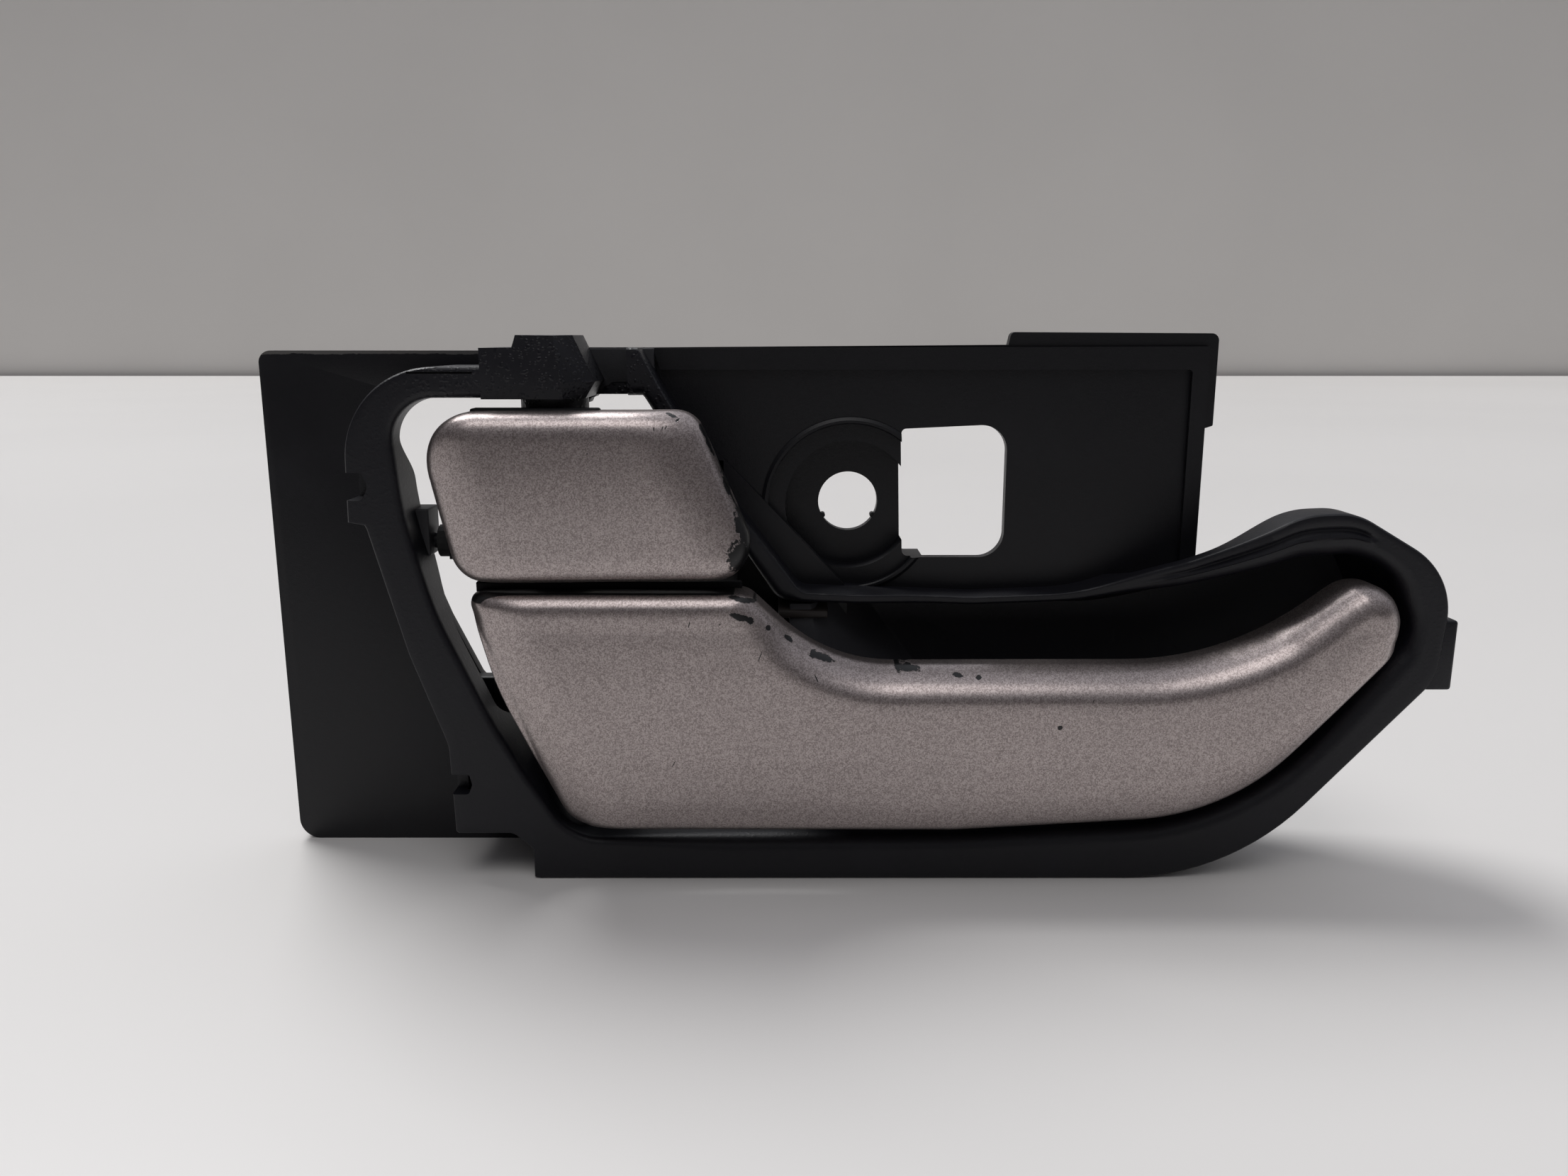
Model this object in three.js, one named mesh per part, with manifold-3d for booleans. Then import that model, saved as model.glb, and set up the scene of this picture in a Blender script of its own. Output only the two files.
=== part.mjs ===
// Interior car door handle: a moulded housing with a painted pull lever and a painted lock knob, both
// turning on one upright steel pin. Behind them are the cranks that the latch rods clip into.
//
// Layout frame, in millimetres: X runs right from the hinge pin's axis, Y runs from the rim's front
// face into the door, and Z runs up from the bench that the part stands on. Outlines are drawn in
// X-Z as [x, z, corner radius] and given thickness along Y. The last lines move the whole group so
// that its origin is the middle of its base.
import * as THREE from 'three';
import { mergeVertices } from 'three/addons/utils/BufferGeometryUtils.js';
import Module from 'manifold-3d';

const wasm = await Module();
wasm.setup();

// ---- Driving dimensions --------------------------------------------------------------------------

const gap = 0.3; // between pieces that rest on each other
const running = 0.08; // radial clearance of a bush on the pin
const wall = 2; // moulded wall thickness
const arcStep = THREE.MathUtils.degToRad(15); // coarsest step of a rounded corner

// Depths of the housing's surfaces behind the rim's front face
const depth = {
  band: 2.2, endWall: 6.5, lip: 8, leftWall: 9, border: 15, plate: 16, plateBack: 18, pocket: 22, back: 24,
};

// The hinge pin, with its axis at x = 0
const pin = { y: 8, radius: 2, grooveRadius: 1.5, bottom: 1.2, top: 83, boss: 5 };

// Heights of what is stacked on the pin, from the bottom up
const stack = {
  lowerBoss: 18.6,
  clip: [18.9, 19.7],
  leverLower: [20, 27],
  spring: [28.6, 38.4],
  leverUpper: [39.5, 46.3],
  spacer: [46.7, 51.6],
  knobLower: [52, 57],
  knobUpper: [67, 72.8],
  neck: 73.2,
};

const lever = { front: -6, back: 2.5, round: 3, plate: [-0.5, 2.2] };
const knob = { front: -5.5, back: 1.5, round: 3, plate: [-1.2, 1.2] };
const hub = { outer: 4.8, bore: 3.3, flange: 0.8 };
const screwHole = { x: 46.3, z: 58.6, radius: 5, counterbore: 10.5, mouth: 13.2, cup: 15 };
const crank = { y: 34, half: 3.5, eye: 4.5, hole: 2.3, lever: [2, 21.1, 25], knob: [-2, 68.1, 71.9] };
const coil = { radius: 4.2, wire: 0.6, turns: 5.5, leg: 9.5 };

// Outer edge of the raised rim, the diagonal wall and the pocket's upper lip
const rimOuter = [
  [-4.9, 0, 0], [107.5, 0, 38], [137.4, 33.4, 8], [138, 49.8, 8], [122.5, 59.7, 10], [114.5, 59.7, 14],
  [98, 52.9, 30], [84, 46.3, 30], [66, 45.2, 30], [39.2, 46.2, 3], [28.6, 60.9, 40], [17.3, 79.3, 0],
  [14.9, 84.2, 0], [-9.5, 84.2, 0], [-9.5, 81.5, 0], [-30.2, 81.5, 11], [-30.8, 58, 0], [-28.2, 57.8, 0],
  [-22.9, 37.5, 20], [-17.6, 22.5, 6], [-17.2, 7.8, 0], [-8, 7.8, 2], [-4.9, 5, 0],
];

// Edge of the opening that the knob and the lever fill
const rimInner = [
  [1.2, 6.9, 9], [62, 7.2, 0], [110, 9.6, 42], [133.9, 40.6, 6], [128.6, 54.6, 8], [114.5, 53.6, 12],
  [98, 48, 30], [84, 44.3, 30], [66, 43.3, 30], [34.6, 44.2, 3.5], [24.4, 59.7, 40], [13.6, 76.9, 0],
  [-23.9, 76.9, 6.5], [-22.3, 59, 40], [-17.6, 44, 40], [-9.6, 26, 40], [-5.5, 18, 30],
];

const leverOutline = [
  [2.6, 9.9, 5], [62, 9.8, 0], [104.5, 12.3, 34], [130.7, 41.1, 6], [125.4, 52.2, 6], [104.6, 36.2, 45],
  [42.4, 36.1, 25], [29.9, 48.7, 3.5], [-12.9, 48.7, 3.2], [-8, 32.5, 60],
];

const knobOutline = [[-13.4, 49.9, 4.5], [32.6, 50.3, 5], [21.9, 75.1, 4.5], [-18.7, 75, 6.5]];

// The left plate's inner edge stays behind the rim, apart from a strip along the top
const leftPlate = [
  [-49, 0, 3.5], [4, 0, 0], [4, 19, 0], [-7, 19, 0], [-16, 30, 0], [-20.7, 40, 0], [-24.5, 50, 0],
  [-27.5, 60, 0], [-28.4, 70, 0], [-28.4, 77.5, 0], [-5, 77.5, 0], [-5, 83.7, 0], [-49, 83.7, 2],
];

const rightPlate = [
  [44, 40, 0], [103.6, 44, 0], [103.6, 71.2, 0], [105.2, 71.7, 0], [105.2, 86.6, 1.5], [71.9, 86.6, 1.5],
  [71.9, 84.6, 0], [3, 84.2, 0], [3, 77.5, 0], [16, 77.5, 0],
];

// What the left wall of the opening lacks behind its shallow front
const leftWallBack = [
  [-11, 25], [-5, 25], [-9, 44], [-14, 60], [-15, 75], [-7, 75.5], [-7, 76.9], [-27, 76.9], [-25.2, 59],
  [-19.6, 43],
].map(([x, z]) => new THREE.Vector2(x, z));

// Plates that close the lower edge of the opening and its right-hand corner, behind the lever
const cornerWeb = [
  [18.5, 74, 0], [20, 61, 0], [27, 48, 0], [31.5, 30, 0], [46, 30, 0], [46, 45, 0], [30, 62, 0],
];

const window = [[55.2, 50, 1], [71.9, 50, 4.5], [71.9, 72, 4.5], [55.2, 71.2, 1]];

const tower = [
  [-9.5, 76.9, 0], [6.5, 77, 0], [6.7, 77.9, 0], [4.6, 85.5, 0], [3.8, 86.1, 0], [-4, 86.1, 0],
  [-4.5, 84.2, 0], [-9.5, 84.2, 0],
];

// ---- Materials -----------------------------------------------------------------------------------

const finish = (color, roughness, metalness) => new THREE.MeshStandardMaterial({ color, roughness, metalness });

const blackPlastic = finish(0x1d1c20, 0.5, 0);
const silverPaint = finish(0x9d928d, 0.38, 0.7);
const steel = finish(0xa9a9ab, 0.3, 1);
const nylon = finish(0xd9d4c4, 0.5, 0);
const rubber = finish(0x101010, 0.85, 0);

// ---- Outlines ------------------------------------------------------------------------------------

// Points along an outline whose corners are rounded with arcs
function rounded(corners) {
  const points = [];
  corners.forEach(([x, z, radius], i) => {
    const corner = new THREE.Vector2(x, z);
    if (radius === 0) {
      points.push(corner);
      return;
    }
    const [beforeX, beforeZ] = corners.at(i - 1);
    const [afterX, afterZ] = corners[(i + 1) % corners.length];
    const back = new THREE.Vector2(beforeX - x, beforeZ - z).normalize();
    const on = new THREE.Vector2(afterX - x, afterZ - z).normalize();
    const half = Math.acos(THREE.MathUtils.clamp(back.dot(on), -1, 1)) / 2;
    const centre = back.clone().add(on).setLength(radius / Math.sin(half)).add(corner);
    const start = back.clone().multiplyScalar(radius / Math.tan(half)).add(corner).sub(centre);
    const turn = Math.sign(on.cross(back)) * (Math.PI - 2 * half);
    const steps = Math.max(2, Math.ceil(Math.abs(turn) / arcStep));
    for (let k = 0; k <= steps; k++) {
      const spoke = start.clone().rotateAround(new THREE.Vector2(), (turn * k) / steps);
      points.push(spoke.add(centre));
    }
  });
  return points;
}

// The same outline moved outwards by a distance, or inwards by a negative one
function offset(points, distance) {
  return points.map((point, i) => {
    const along = point.clone().sub(points.at(i - 1)).normalize();
    const onward = points[(i + 1) % points.length].clone().sub(point).normalize();
    const outward = new THREE.Vector2(along.y + onward.y, -along.x - onward.x);
    return outward.multiplyScalar(distance / (1 + along.dot(onward))).add(point);
  });
}

// ---- Solids --------------------------------------------------------------------------------------

function solid(geometry) {
  geometry.deleteAttribute('normal');
  geometry.deleteAttribute('uv');
  const merged = mergeVertices(geometry, 1e-4);
  const vertProperties = new Float32Array(merged.attributes.position.array);
  const triVerts = new Uint32Array(merged.index.array);
  return new wasm.Manifold(new wasm.Mesh({ numProp: 3, vertProperties, triVerts }));
}

const join = (first, ...others) => others.reduce((sum, other) => sum.add(other), first);
const cut = (first, ...others) => others.reduce((rest, other) => rest.subtract(other), first);

// An X-Z outline given thickness along Y, with any holes
function slab(outline, front, back, holes = []) {
  const shape = new THREE.Shape(outline);
  shape.holes = holes.map((hole) => new THREE.Path(hole));
  const geometry = new THREE.ExtrudeGeometry(shape, { depth: back - front, bevelEnabled: false });
  return solid(geometry.rotateX(Math.PI / 2).translate(0, back, 0));
}

// A plan drawn in X-Y, given height along Z
function prism(plan, bottom, top) {
  const shape = new THREE.Shape(plan.map(([x, y]) => new THREE.Vector2(x, y)));
  const geometry = new THREE.ExtrudeGeometry(shape, { depth: top - bottom, bevelEnabled: false });
  return solid(geometry.translate(0, 0, bottom));
}

function block([x0, x1], [y0, y1], [z0, z1]) {
  const geometry = new THREE.BoxGeometry(x1 - x0, y1 - y0, z1 - z0);
  return solid(geometry.translate((x0 + x1) / 2, (y0 + y1) / 2, (z0 + z1) / 2));
}

// An upright cylinder centred on x, y
function post(x, y, radius, [bottom, top], sides = 24) {
  const geometry = new THREE.CylinderGeometry(radius, radius, top - bottom, sides).rotateX(Math.PI / 2);
  return solid(geometry.translate(x, y, (bottom + top) / 2));
}

// A cylinder that runs into the door, centred on x, z
function stud(x, z, radius, [front, back], sides = 16) {
  const geometry = new THREE.CylinderGeometry(radius, radius, back - front, sides);
  return solid(geometry.translate(x, (front + back) / 2, z));
}

// A cylinder that runs across the door, centred on y, z
function crossbar(y, z, radius, [left, right], sides = 16) {
  const geometry = new THREE.CylinderGeometry(radius, radius, right - left, sides).rotateZ(Math.PI / 2);
  return solid(geometry.translate((left + right) / 2, y, z));
}

// A turned shape on the hinge pin's axis, from [radius, z] pairs that run anticlockwise
function turned(profile, sides = 24) {
  const points = [...profile, profile[0]].map(([radius, z]) => new THREE.Vector2(radius, z));
  const geometry = new THREE.LatheGeometry(points, sides).rotateX(Math.PI / 2);
  return solid(geometry.translate(0, pin.y, 0));
}

function piece(name, shape, material) {
  const { vertProperties, triVerts } = shape.getMesh();
  const geometry = new THREE.BufferGeometry();
  geometry.setAttribute('position', new THREE.BufferAttribute(vertProperties, 3));
  geometry.setIndex(new THREE.BufferAttribute(triVerts, 1));
  geometry.computeVertexNormals();
  const mesh = new THREE.Mesh(geometry, material);
  mesh.name = name;
  return mesh;
}

// ---- Housing -------------------------------------------------------------------------------------

// The raised rim is a channel that is open at the back: a face band between two walls
function makeRim(outer, inner) {
  const band = slab(outer, 0, depth.band, [inner]);
  const outerWall = slab(outer, 0, depth.plateBack, [offset(outer, -wall)]);
  const innerWall = slab(offset(inner, wall), 0, depth.plateBack, [inner]);
  // The diagonal wall and the lip stand back from the rim, and the right-hand band ramps up to it
  const { lip } = depth;
  const setBack = prism([[6.9, -1], [114, -1], [92, lip], [60, 10], [46, lip], [6.9, lip]], 39, 90);
  // The left wall of the opening is shallow, and so is the outer wall over the pocket's end
  const behindLeftWall = slab(leftWallBack, depth.leftWall, depth.back);
  const behindEndWall = slab(offset(outer, 5), depth.endWall, depth.back, [offset(inner, wall)])
    .intersect(block([105.5, 150], [-10, 40], [45, 70]));
  const behindTower = block([6.9, 11], [-1, 14], [76.5, 90]);
  const upperNotch = block([-32, -27.4], [-1, 6], [61.6, 65.8]);
  const lowerNotch = block([-19, -14], [-1, 6], [14.5, 17.7]);
  const endTab = block([134.5, 139.9], [0, 14], [31.7, 43]);
  const channel = join(band, cut(outerWall, behindEndWall), cut(innerWall, behindLeftWall));
  return join(cut(channel, setBack, behindTower, upperNotch, lowerNotch), endTab);
}

function makePlates(inner) {
  const left = slab(rounded(leftPlate), depth.plate, depth.plateBack);
  const right = slab(rounded(rightPlate), depth.plate, depth.plateBack);
  const topBorder = block([16, 103.6], [depth.border, depth.plate + 0.5], [80.7, 84.4]);
  const sideBorder = block([101, 103.6], [depth.border, depth.plate + 0.5], [52, 84]);
  const ribs = [20, 62].map((z) => block([-47, -26], [depth.plateBack - 0.5, depth.pocket], [z, z + wall]));
  const opening = slab(inner, depth.border - 2, depth.back);
  const sill = block([-7, 42], [depth.plate, depth.plateBack], [5, 19]);
  const sillRib = block([-1.5, 1.5], [12, depth.plate + 1], [2, 18]);
  const corner = slab(rounded(cornerWeb), depth.plate - 0.8, depth.plateBack);
  return join(left, cut(join(right, topBorder, sideBorder), opening), ...ribs, sill, sillRib, corner);
}

// The finger pocket behind the lever's grip: walls, a floor and a cheek towards the mechanism
function makePocket(inner) {
  const cheekLeft = 41;
  const rightSide = block([cheekLeft, 150], [-10, 40], [-10, 100]);
  const shell = slab(offset(inner, wall), depth.border, depth.back).intersect(rightSide);
  const room = block([cheekLeft + wall, 150], [-10, 40], [-10, 100]);
  const hollow = slab(inner, 0, depth.pocket).intersect(room);
  const cheek = prism([[41, 10], [43, 10], [46, depth.pocket + 0.5], [41, depth.pocket + 0.5]], 7, 42);
  const bumperPost = block([38.5, 44.5], [8, depth.pocket], [17, 23]);
  return join(cut(shell, hollow), cheek, bumperPost);
}

function makeScrewCup() {
  const { x, z, radius, counterbore, mouth, cup } = screwHole;
  const body = stud(x, z, cup, [depth.plate, depth.back], 32);
  const steps = [stud(x, z, mouth, [10, 19], 32), stud(x, z, counterbore, [10, depth.pocket], 32)];
  return { body, hollow: join(...steps, stud(x, z, radius, [10, 30], 24)) };
}

function makeHousing() {
  const outer = rounded(rimOuter);
  const inner = rounded(rimInner);
  const { body, hollow } = makeScrewCup();
  const towerBlock = slab(rounded(tower), 0, 14);
  const web = slab(rounded([[3, 77.5, 0], [15, 78, 0], [15, 84, 0], [3, 84, 0]]), 13.5, depth.plateBack);
  const neck = post(0, pin.y, pin.boss + 0.2, [stack.neck, 78]);
  const lowerBoss = post(0, pin.y, pin.boss, [0, stack.lowerBoss]);
  const detentShelf = block([11, 26], [15.2, depth.plateBack], [58.5, 66.5]);
  const springHook = block([-18.5, -7.5], [13.4, 16.5], [27, 30]);
  const knobSpigot = join(crossbar(9.1, 54, 1.2, [-22, -16]), block([-23.4, -19.8], [6, 11.6], [52, 58.3]));
  const leverSpigot = stud(41.5, 20, 1.2, [5, 9]);
  const shell = join(
    makeRim(outer, inner), makePlates(inner), makePocket(inner), body, towerBlock, web, neck, lowerBoss,
    detentShelf, springHook, knobSpigot, leverSpigot,
  );
  const pinHole = post(0, pin.y, pin.radius + running, [-1, pin.top + 0.5]);
  const detentHole = stud(...detent.screw, 1.3, [14, 20]);
  return cut(shell, hollow, slab(rounded(window), 10, 30), pinHole, detentHole);
}

// ---- Pin and what is stacked on it ---------------------------------------------------------------

function makePin() {
  const { radius, grooveRadius, bottom, top } = pin;
  const [grooveBottom, grooveTop] = [stack.clip[0] - 0.1, stack.clip[1] + 0.1];
  return turned([
    [0, bottom], [radius - 0.4, bottom], [radius, bottom + 0.4], [radius, grooveBottom],
    [grooveRadius, grooveBottom],
    [grooveRadius, grooveTop], [radius, grooveTop], [radius, top - 0.4], [radius - 0.4, top], [0, top],
  ]);
}

// A retaining ring that is open on one side, so that it can be pushed into the pin's groove
function makePinClip() {
  const [bottom, top] = stack.clip;
  const ring = turned([[1.8, bottom], [3.8, bottom], [3.8, top], [1.8, top]]);
  const mouth = block([-1.2, 1.2], [pin.y, pin.y + 6], [bottom - 1, top + 1]);
  return cut(ring, mouth);
}

function makeSpacer() {
  const [bottom, top] = stack.spacer;
  const inner = pin.radius + running;
  return turned([[inner, bottom], [4.2, bottom], [4.2, top], [inner, top]]);
}

// A flanged bush, with its flange at the bottom
function makeBush([bottom, top]) {
  const inner = pin.radius + running;
  const outer = hub.bore - gap;
  const shoulder = bottom + hub.flange;
  return turned([
    [inner, bottom], [4.3, bottom], [4.3, shoulder], [outer, shoulder], [outer, top], [inner, top],
  ]);
}

// Housing leg at the rear of the coil's foot, coil, then the lever's leg in front of the coil's head
function makeReturnSpring() {
  const { radius, wire, turns, leg } = coil;
  const [bottom, top] = stack.spring;
  const legPoints = (y, z) => [new THREE.Vector3(-leg, y, z), new THREE.Vector3(-leg / 2, y, z)];
  const points = legPoints(pin.y + radius, bottom);
  const steps = Math.round(turns * 12);
  for (let i = 0; i <= steps; i++) {
    const angle = Math.PI / 2 - (i / steps) * turns * 2 * Math.PI;
    const z = THREE.MathUtils.lerp(bottom, top, i / steps);
    points.push(new THREE.Vector3(radius * Math.cos(angle), pin.y + radius * Math.sin(angle), z));
  }
  points.push(...legPoints(pin.y - radius, top).reverse());
  const section = new THREE.Shape(new THREE.EllipseCurve(0, 0, wire, wire).getPoints(6).slice(0, 6));
  const path = new THREE.CatmullRomCurve3(points);
  const sweep = { steps: steps + 8, extrudePath: path, bevelEnabled: false };
  return solid(new THREE.ExtrudeGeometry(section, sweep));
}

// ---- Painted shells and the carriers inside them -------------------------------------------------

// An outline with a rounded front edge and an open, hollow back
function makeShell(outline, { front, back, round }) {
  const overrun = back + round;
  const shape = new THREE.Shape(outline);
  const geometry = new THREE.ExtrudeGeometry(shape, {
    depth: overrun - front - 2 * round,
    bevelThickness: round,
    bevelSize: round,
    bevelOffset: -round,
    bevelSegments: 3,
  });
  const rounding = solid(geometry.rotateX(Math.PI / 2).translate(0, overrun - round, 0));
  const trim = block([-100, 200], [back, overrun + 10], [-10, 100]);
  const hollow = slab(offset(outline, -wall), front + 2.8, back + 1);
  return cut(rounding, trim, hollow);
}

// A pin hub, with the web that ties it to the carrier's plate
function makeHub([bottom, top], plateBack) {
  const heights = [bottom + hub.flange + gap, top];
  return join(post(0, pin.y, hub.outer, heights), block([0.2, 5], [plateBack - 1, pin.y], heights));
}

const hubBore = ([bottom, top]) => post(0, pin.y, hub.bore, [bottom - 1, top + 1]);

// A crank arm that runs back from the pin to the eye for a rod clip
function makeCrank([x, bottom, top]) {
  const { y, half, eye } = crank;
  return join(block([x - half, x + half], [pin.y, y], [bottom, top]), post(x, y, eye, [bottom, top]));
}

const crankHole = ([x, bottom, top]) => post(x, crank.y, crank.hole, [bottom - 1, top + 1]);

const leverScrews = [[16, 22], [24, 38]];
const knobScrew = [18, 62];
const detent = { screw: [17, 62.5], heights: [60, 65] };

// A blind screw boss inside a painted shell
function screwBoss(x, z, front, back) {
  return { boss: stud(x, z, 3.2, [front, back]), hole: stud(x, z, 1.5, [front + 0.6, back + 1]) };
}

function makeLeverShell() {
  const bosses = leverScrews.map(([x, z]) => screwBoss(x, z, lever.front + 2.5, lever.plate[0] - gap));
  const shell = join(makeShell(rounded(leverOutline), lever), ...bosses.map(({ boss }) => boss));
  return cut(shell, ...bosses.map(({ hole }) => hole));
}

function makeLeverCarrier() {
  const [front, back] = lever.plate;
  const plate = slab(offset(rounded(leverOutline), -wall - gap - 0.1), front, back);
  const hubs = [stack.leverLower, stack.leverUpper];
  const gripRib = block([56, 108], [back - 0.5, back + 2.5], [21, 23]);
  // A ledge behind the shell's top edge closes the view under the knob
  const [ledgeLeft, ledgeRight] = [-11.5, 28];
  const ledge = join(
    block([ledgeLeft + 2.5, ledgeRight - 1], [back - 0.4, lever.back + 1.3], [43.5, 45.8]),
    block([ledgeLeft, ledgeRight], [lever.back + gap, 12], [45.4, 48.3]),
  );
  const spacerRoom = post(0, pin.y, 4.8, [stack.leverUpper[1], stack.spacer[0] + 3]);
  const solids = [plate, ...hubs.map((span) => makeHub(span, back)), makeCrank(crank.lever), gripRib];
  const carrier = join(cut(ledge, spacerRoom), ...solids);
  const screwHoles = leverScrews.map(([x, z]) => stud(x, z, 1.6, [front - 1, back + 1]));
  return cut(carrier, ...hubs.map(hubBore), crankHole(crank.lever), ...screwHoles);
}

function makeKnobCap() {
  const { boss, hole } = screwBoss(...knobScrew, knob.front + 2.5, knob.plate[0] - gap);
  return cut(join(makeShell(rounded(knobOutline), knob), boss), hole);
}

function makeKnobCarrier() {
  const [front, back] = knob.plate;
  const plate = slab(offset(rounded(knobOutline), -wall - gap - 0.1), front, back);
  const hubs = [stack.knobLower, stack.knobUpper];
  const cam = block([5, 9], [back - 0.5, 11.2], [60, 65]);
  const earStem = block([-10.2, -8], [back - 0.5, 6.1], [53, 56]);
  const ear = join(earStem, block([-16.5, -8], [3.4, 6.1], [52, 56]));
  const carrier = join(plate, ...hubs.map((span) => makeHub(span, back)), makeCrank(crank.knob), cam, ear);
  const screwHole = stud(...knobScrew, 1.6, [front - 1, back + 1]);
  return cut(carrier, ...hubs.map(hubBore), crankHole(crank.knob), screwHole);
}

// A pan-head screw, driven from behind, with a cross recess
function makeScrew(x, z, plate, tip) {
  const seat = plate[1] + gap;
  const recess = [[0.35, 1.4], [1.4, 0.35]].map(([halfX, halfZ]) =>
    block([x - halfX, x + halfX], [seat + 0.9, seat + 3], [z - halfZ, z + halfZ]));
  return cut(join(stud(x, z, 1.2, [tip, seat + 1]), stud(x, z, 2.8, [seat, seat + 1.8])), ...recess);
}

// ---- Bumpers, detent and rod clips ---------------------------------------------------------------

const makeLeverBumper = () => cut(stud(41.5, 20, 3, [2.5, 7.7]), stud(41.5, 20, 1.5, [4.5, 8]));

const makeKnobBumper = () =>
  cut(crossbar(9.1, 54, 2.6, [-19.3, -13.5]), crossbar(9.1, 54, 1.5, [-21, -15.5]));

// A leaf spring with a bump that presses on the knob's cam
function makeDetentSpring() {
  const run = [[20.2, 14.6], [14, 14.6], [11.4, 14.2], [8.6, 13.4], [7.4, 13.4], [4.6, 14.3]];
  const thickness = 0.5;
  const rear = run.map(([x, y]) => [x, y + thickness / 2]);
  const front = run.map(([x, y]) => [x, y - thickness / 2]).reverse();
  return cut(prism([...rear, ...front].reverse(), ...detent.heights), stud(...detent.screw, 1.3, [13, 16]));
}

const makeDetentScrew = () =>
  join(stud(...detent.screw, 1, [13.5, 19]), stud(...detent.screw, 2.2, [12.5, 14]));

// A nylon rod clip: a stud through the crank's eye and a block with a snap groove for the rod
function makeRodClip([x, bottom, top]) {
  const y = crank.y;
  const body = block([x - 4, x + 4], [y - 4, y + 7], [bottom - 6.6, bottom - gap]);
  const shank = post(x, y, crank.hole - gap, [bottom - 1, top + 1]);
  const head = post(x, y, crank.hole + 0.5, [top + gap, top + 1.6]);
  const bore = crossbar(y + 3, bottom - 3.6, 1.6, [x - 5, x + 5]);
  const mouth = block([x - 5, x + 5], [y + 1.7, y + 4.3], [bottom - 8, bottom - 3.6]);
  return cut(join(body, shank, head), bore, mouth);
}

// ---- Assembly ------------------------------------------------------------------------------------

const layout = new THREE.Group();
layout.add(
  piece('housing', makeHousing(), blackPlastic),
  piece('hinge_pin', makePin(), steel),
  piece('pin_clip', makePinClip(), steel),
  piece('spacer_washer', makeSpacer(), nylon),
  piece('lever_bumper', makeLeverBumper(), rubber),
  piece('knob_bumper', makeKnobBumper(), rubber),
  piece('detent_spring', makeDetentSpring(), steel),
  piece('detent_screw', makeDetentScrew(), steel),
  piece('lever_shell', makeLeverShell(), silverPaint),
  piece('lever_carrier', makeLeverCarrier(), blackPlastic),
  piece('lever_bush_lower', makeBush(stack.leverLower), nylon),
  piece('lever_bush_upper', makeBush(stack.leverUpper), nylon),
  piece('return_spring', makeReturnSpring(), steel),
  ...leverScrews.map(([x, z], i) =>
    piece(`lever_screw_${['left', 'right'][i]}`, makeScrew(x, z, lever.plate, lever.front + 3.4), steel)),
  piece('knob_cap', makeKnobCap(), silverPaint),
  piece('knob_carrier', makeKnobCarrier(), blackPlastic),
  piece('knob_bush_lower', makeBush(stack.knobLower), nylon),
  piece('knob_bush_upper', makeBush(stack.knobUpper), nylon),
  piece('knob_screw', makeScrew(...knobScrew, knob.plate, knob.front + 3.4), steel),
  piece('lever_rod_clip', makeRodClip(crank.lever), nylon),
  piece('knob_rod_clip', makeRodClip(crank.knob), nylon),
);

// Origin: the middle of the base, with +X to the right, +Y into the door and +Z up
const bounds = new THREE.Box3().setFromObject(layout);
const middle = bounds.getCenter(new THREE.Vector3());
layout.position.set(-middle.x, -middle.y, -bounds.min.z);

const handle = new THREE.Group();
handle.add(layout);

export default handle;
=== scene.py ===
"""An interior car door handle: black moulded housing, painted pull lever and painted lock knob."""
import math
import bpy
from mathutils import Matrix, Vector, kdtree


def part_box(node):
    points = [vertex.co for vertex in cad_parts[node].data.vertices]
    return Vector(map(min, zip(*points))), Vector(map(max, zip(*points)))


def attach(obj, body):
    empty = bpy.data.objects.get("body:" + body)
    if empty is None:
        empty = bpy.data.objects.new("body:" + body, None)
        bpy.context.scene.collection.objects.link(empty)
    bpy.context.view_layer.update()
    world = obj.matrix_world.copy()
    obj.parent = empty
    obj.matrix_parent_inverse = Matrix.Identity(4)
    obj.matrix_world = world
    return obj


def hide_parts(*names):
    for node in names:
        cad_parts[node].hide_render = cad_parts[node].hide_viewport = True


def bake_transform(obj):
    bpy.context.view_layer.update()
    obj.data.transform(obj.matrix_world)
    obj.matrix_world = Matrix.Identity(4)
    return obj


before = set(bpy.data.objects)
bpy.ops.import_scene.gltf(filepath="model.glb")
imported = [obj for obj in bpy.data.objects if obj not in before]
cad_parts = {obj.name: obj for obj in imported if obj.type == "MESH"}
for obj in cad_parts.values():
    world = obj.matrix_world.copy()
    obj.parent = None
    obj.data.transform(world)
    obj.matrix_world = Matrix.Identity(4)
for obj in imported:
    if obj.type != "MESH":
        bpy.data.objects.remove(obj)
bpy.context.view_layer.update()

# ---- Layout --------------------------------------------------------------------------------------
# Drawn in millimetres: X from the hinge pin's axis, Y from the rim's front face into the door, Z up.

MM = 0.001
PIN_LOW, PIN_HIGH = (Vector(corner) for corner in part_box("hinge_pin"))
ORIGIN = Vector(((PIN_LOW.x + PIN_HIGH.x) / 2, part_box("housing")[0][1], 0.0))
PIN_Y = 8.0
PIN_RADIUS = (PIN_HIGH.x - PIN_LOW.x) / 2 / MM
PIN_CLEARANCE = 0.08

# Depths behind the rim's face
WALL = 2.0
PLATE_FRONT, PLATE_BACK = 16.0, 18.0
LEFT_WALL_BACK, LEFT_WALL_TOP_BACK, LEFT_WALL_FOOT_RISE = 9.0, 4.2, 3.4
END_WALL_BACK, RAMP_WALL_DEPTH = 6.5, 2.7
POCKET_FLOOR, POCKET_BACK, ROOF_DROP = 22.0, 24.0, 4.4
LIP_FRONT, LIP_STEP = 8.0, 2.0
LEVER_FRONT, LEVER_BACK = -6.0, 2.5
KNOB_FRONT, KNOB_BACK = -5.5, 1.5

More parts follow.
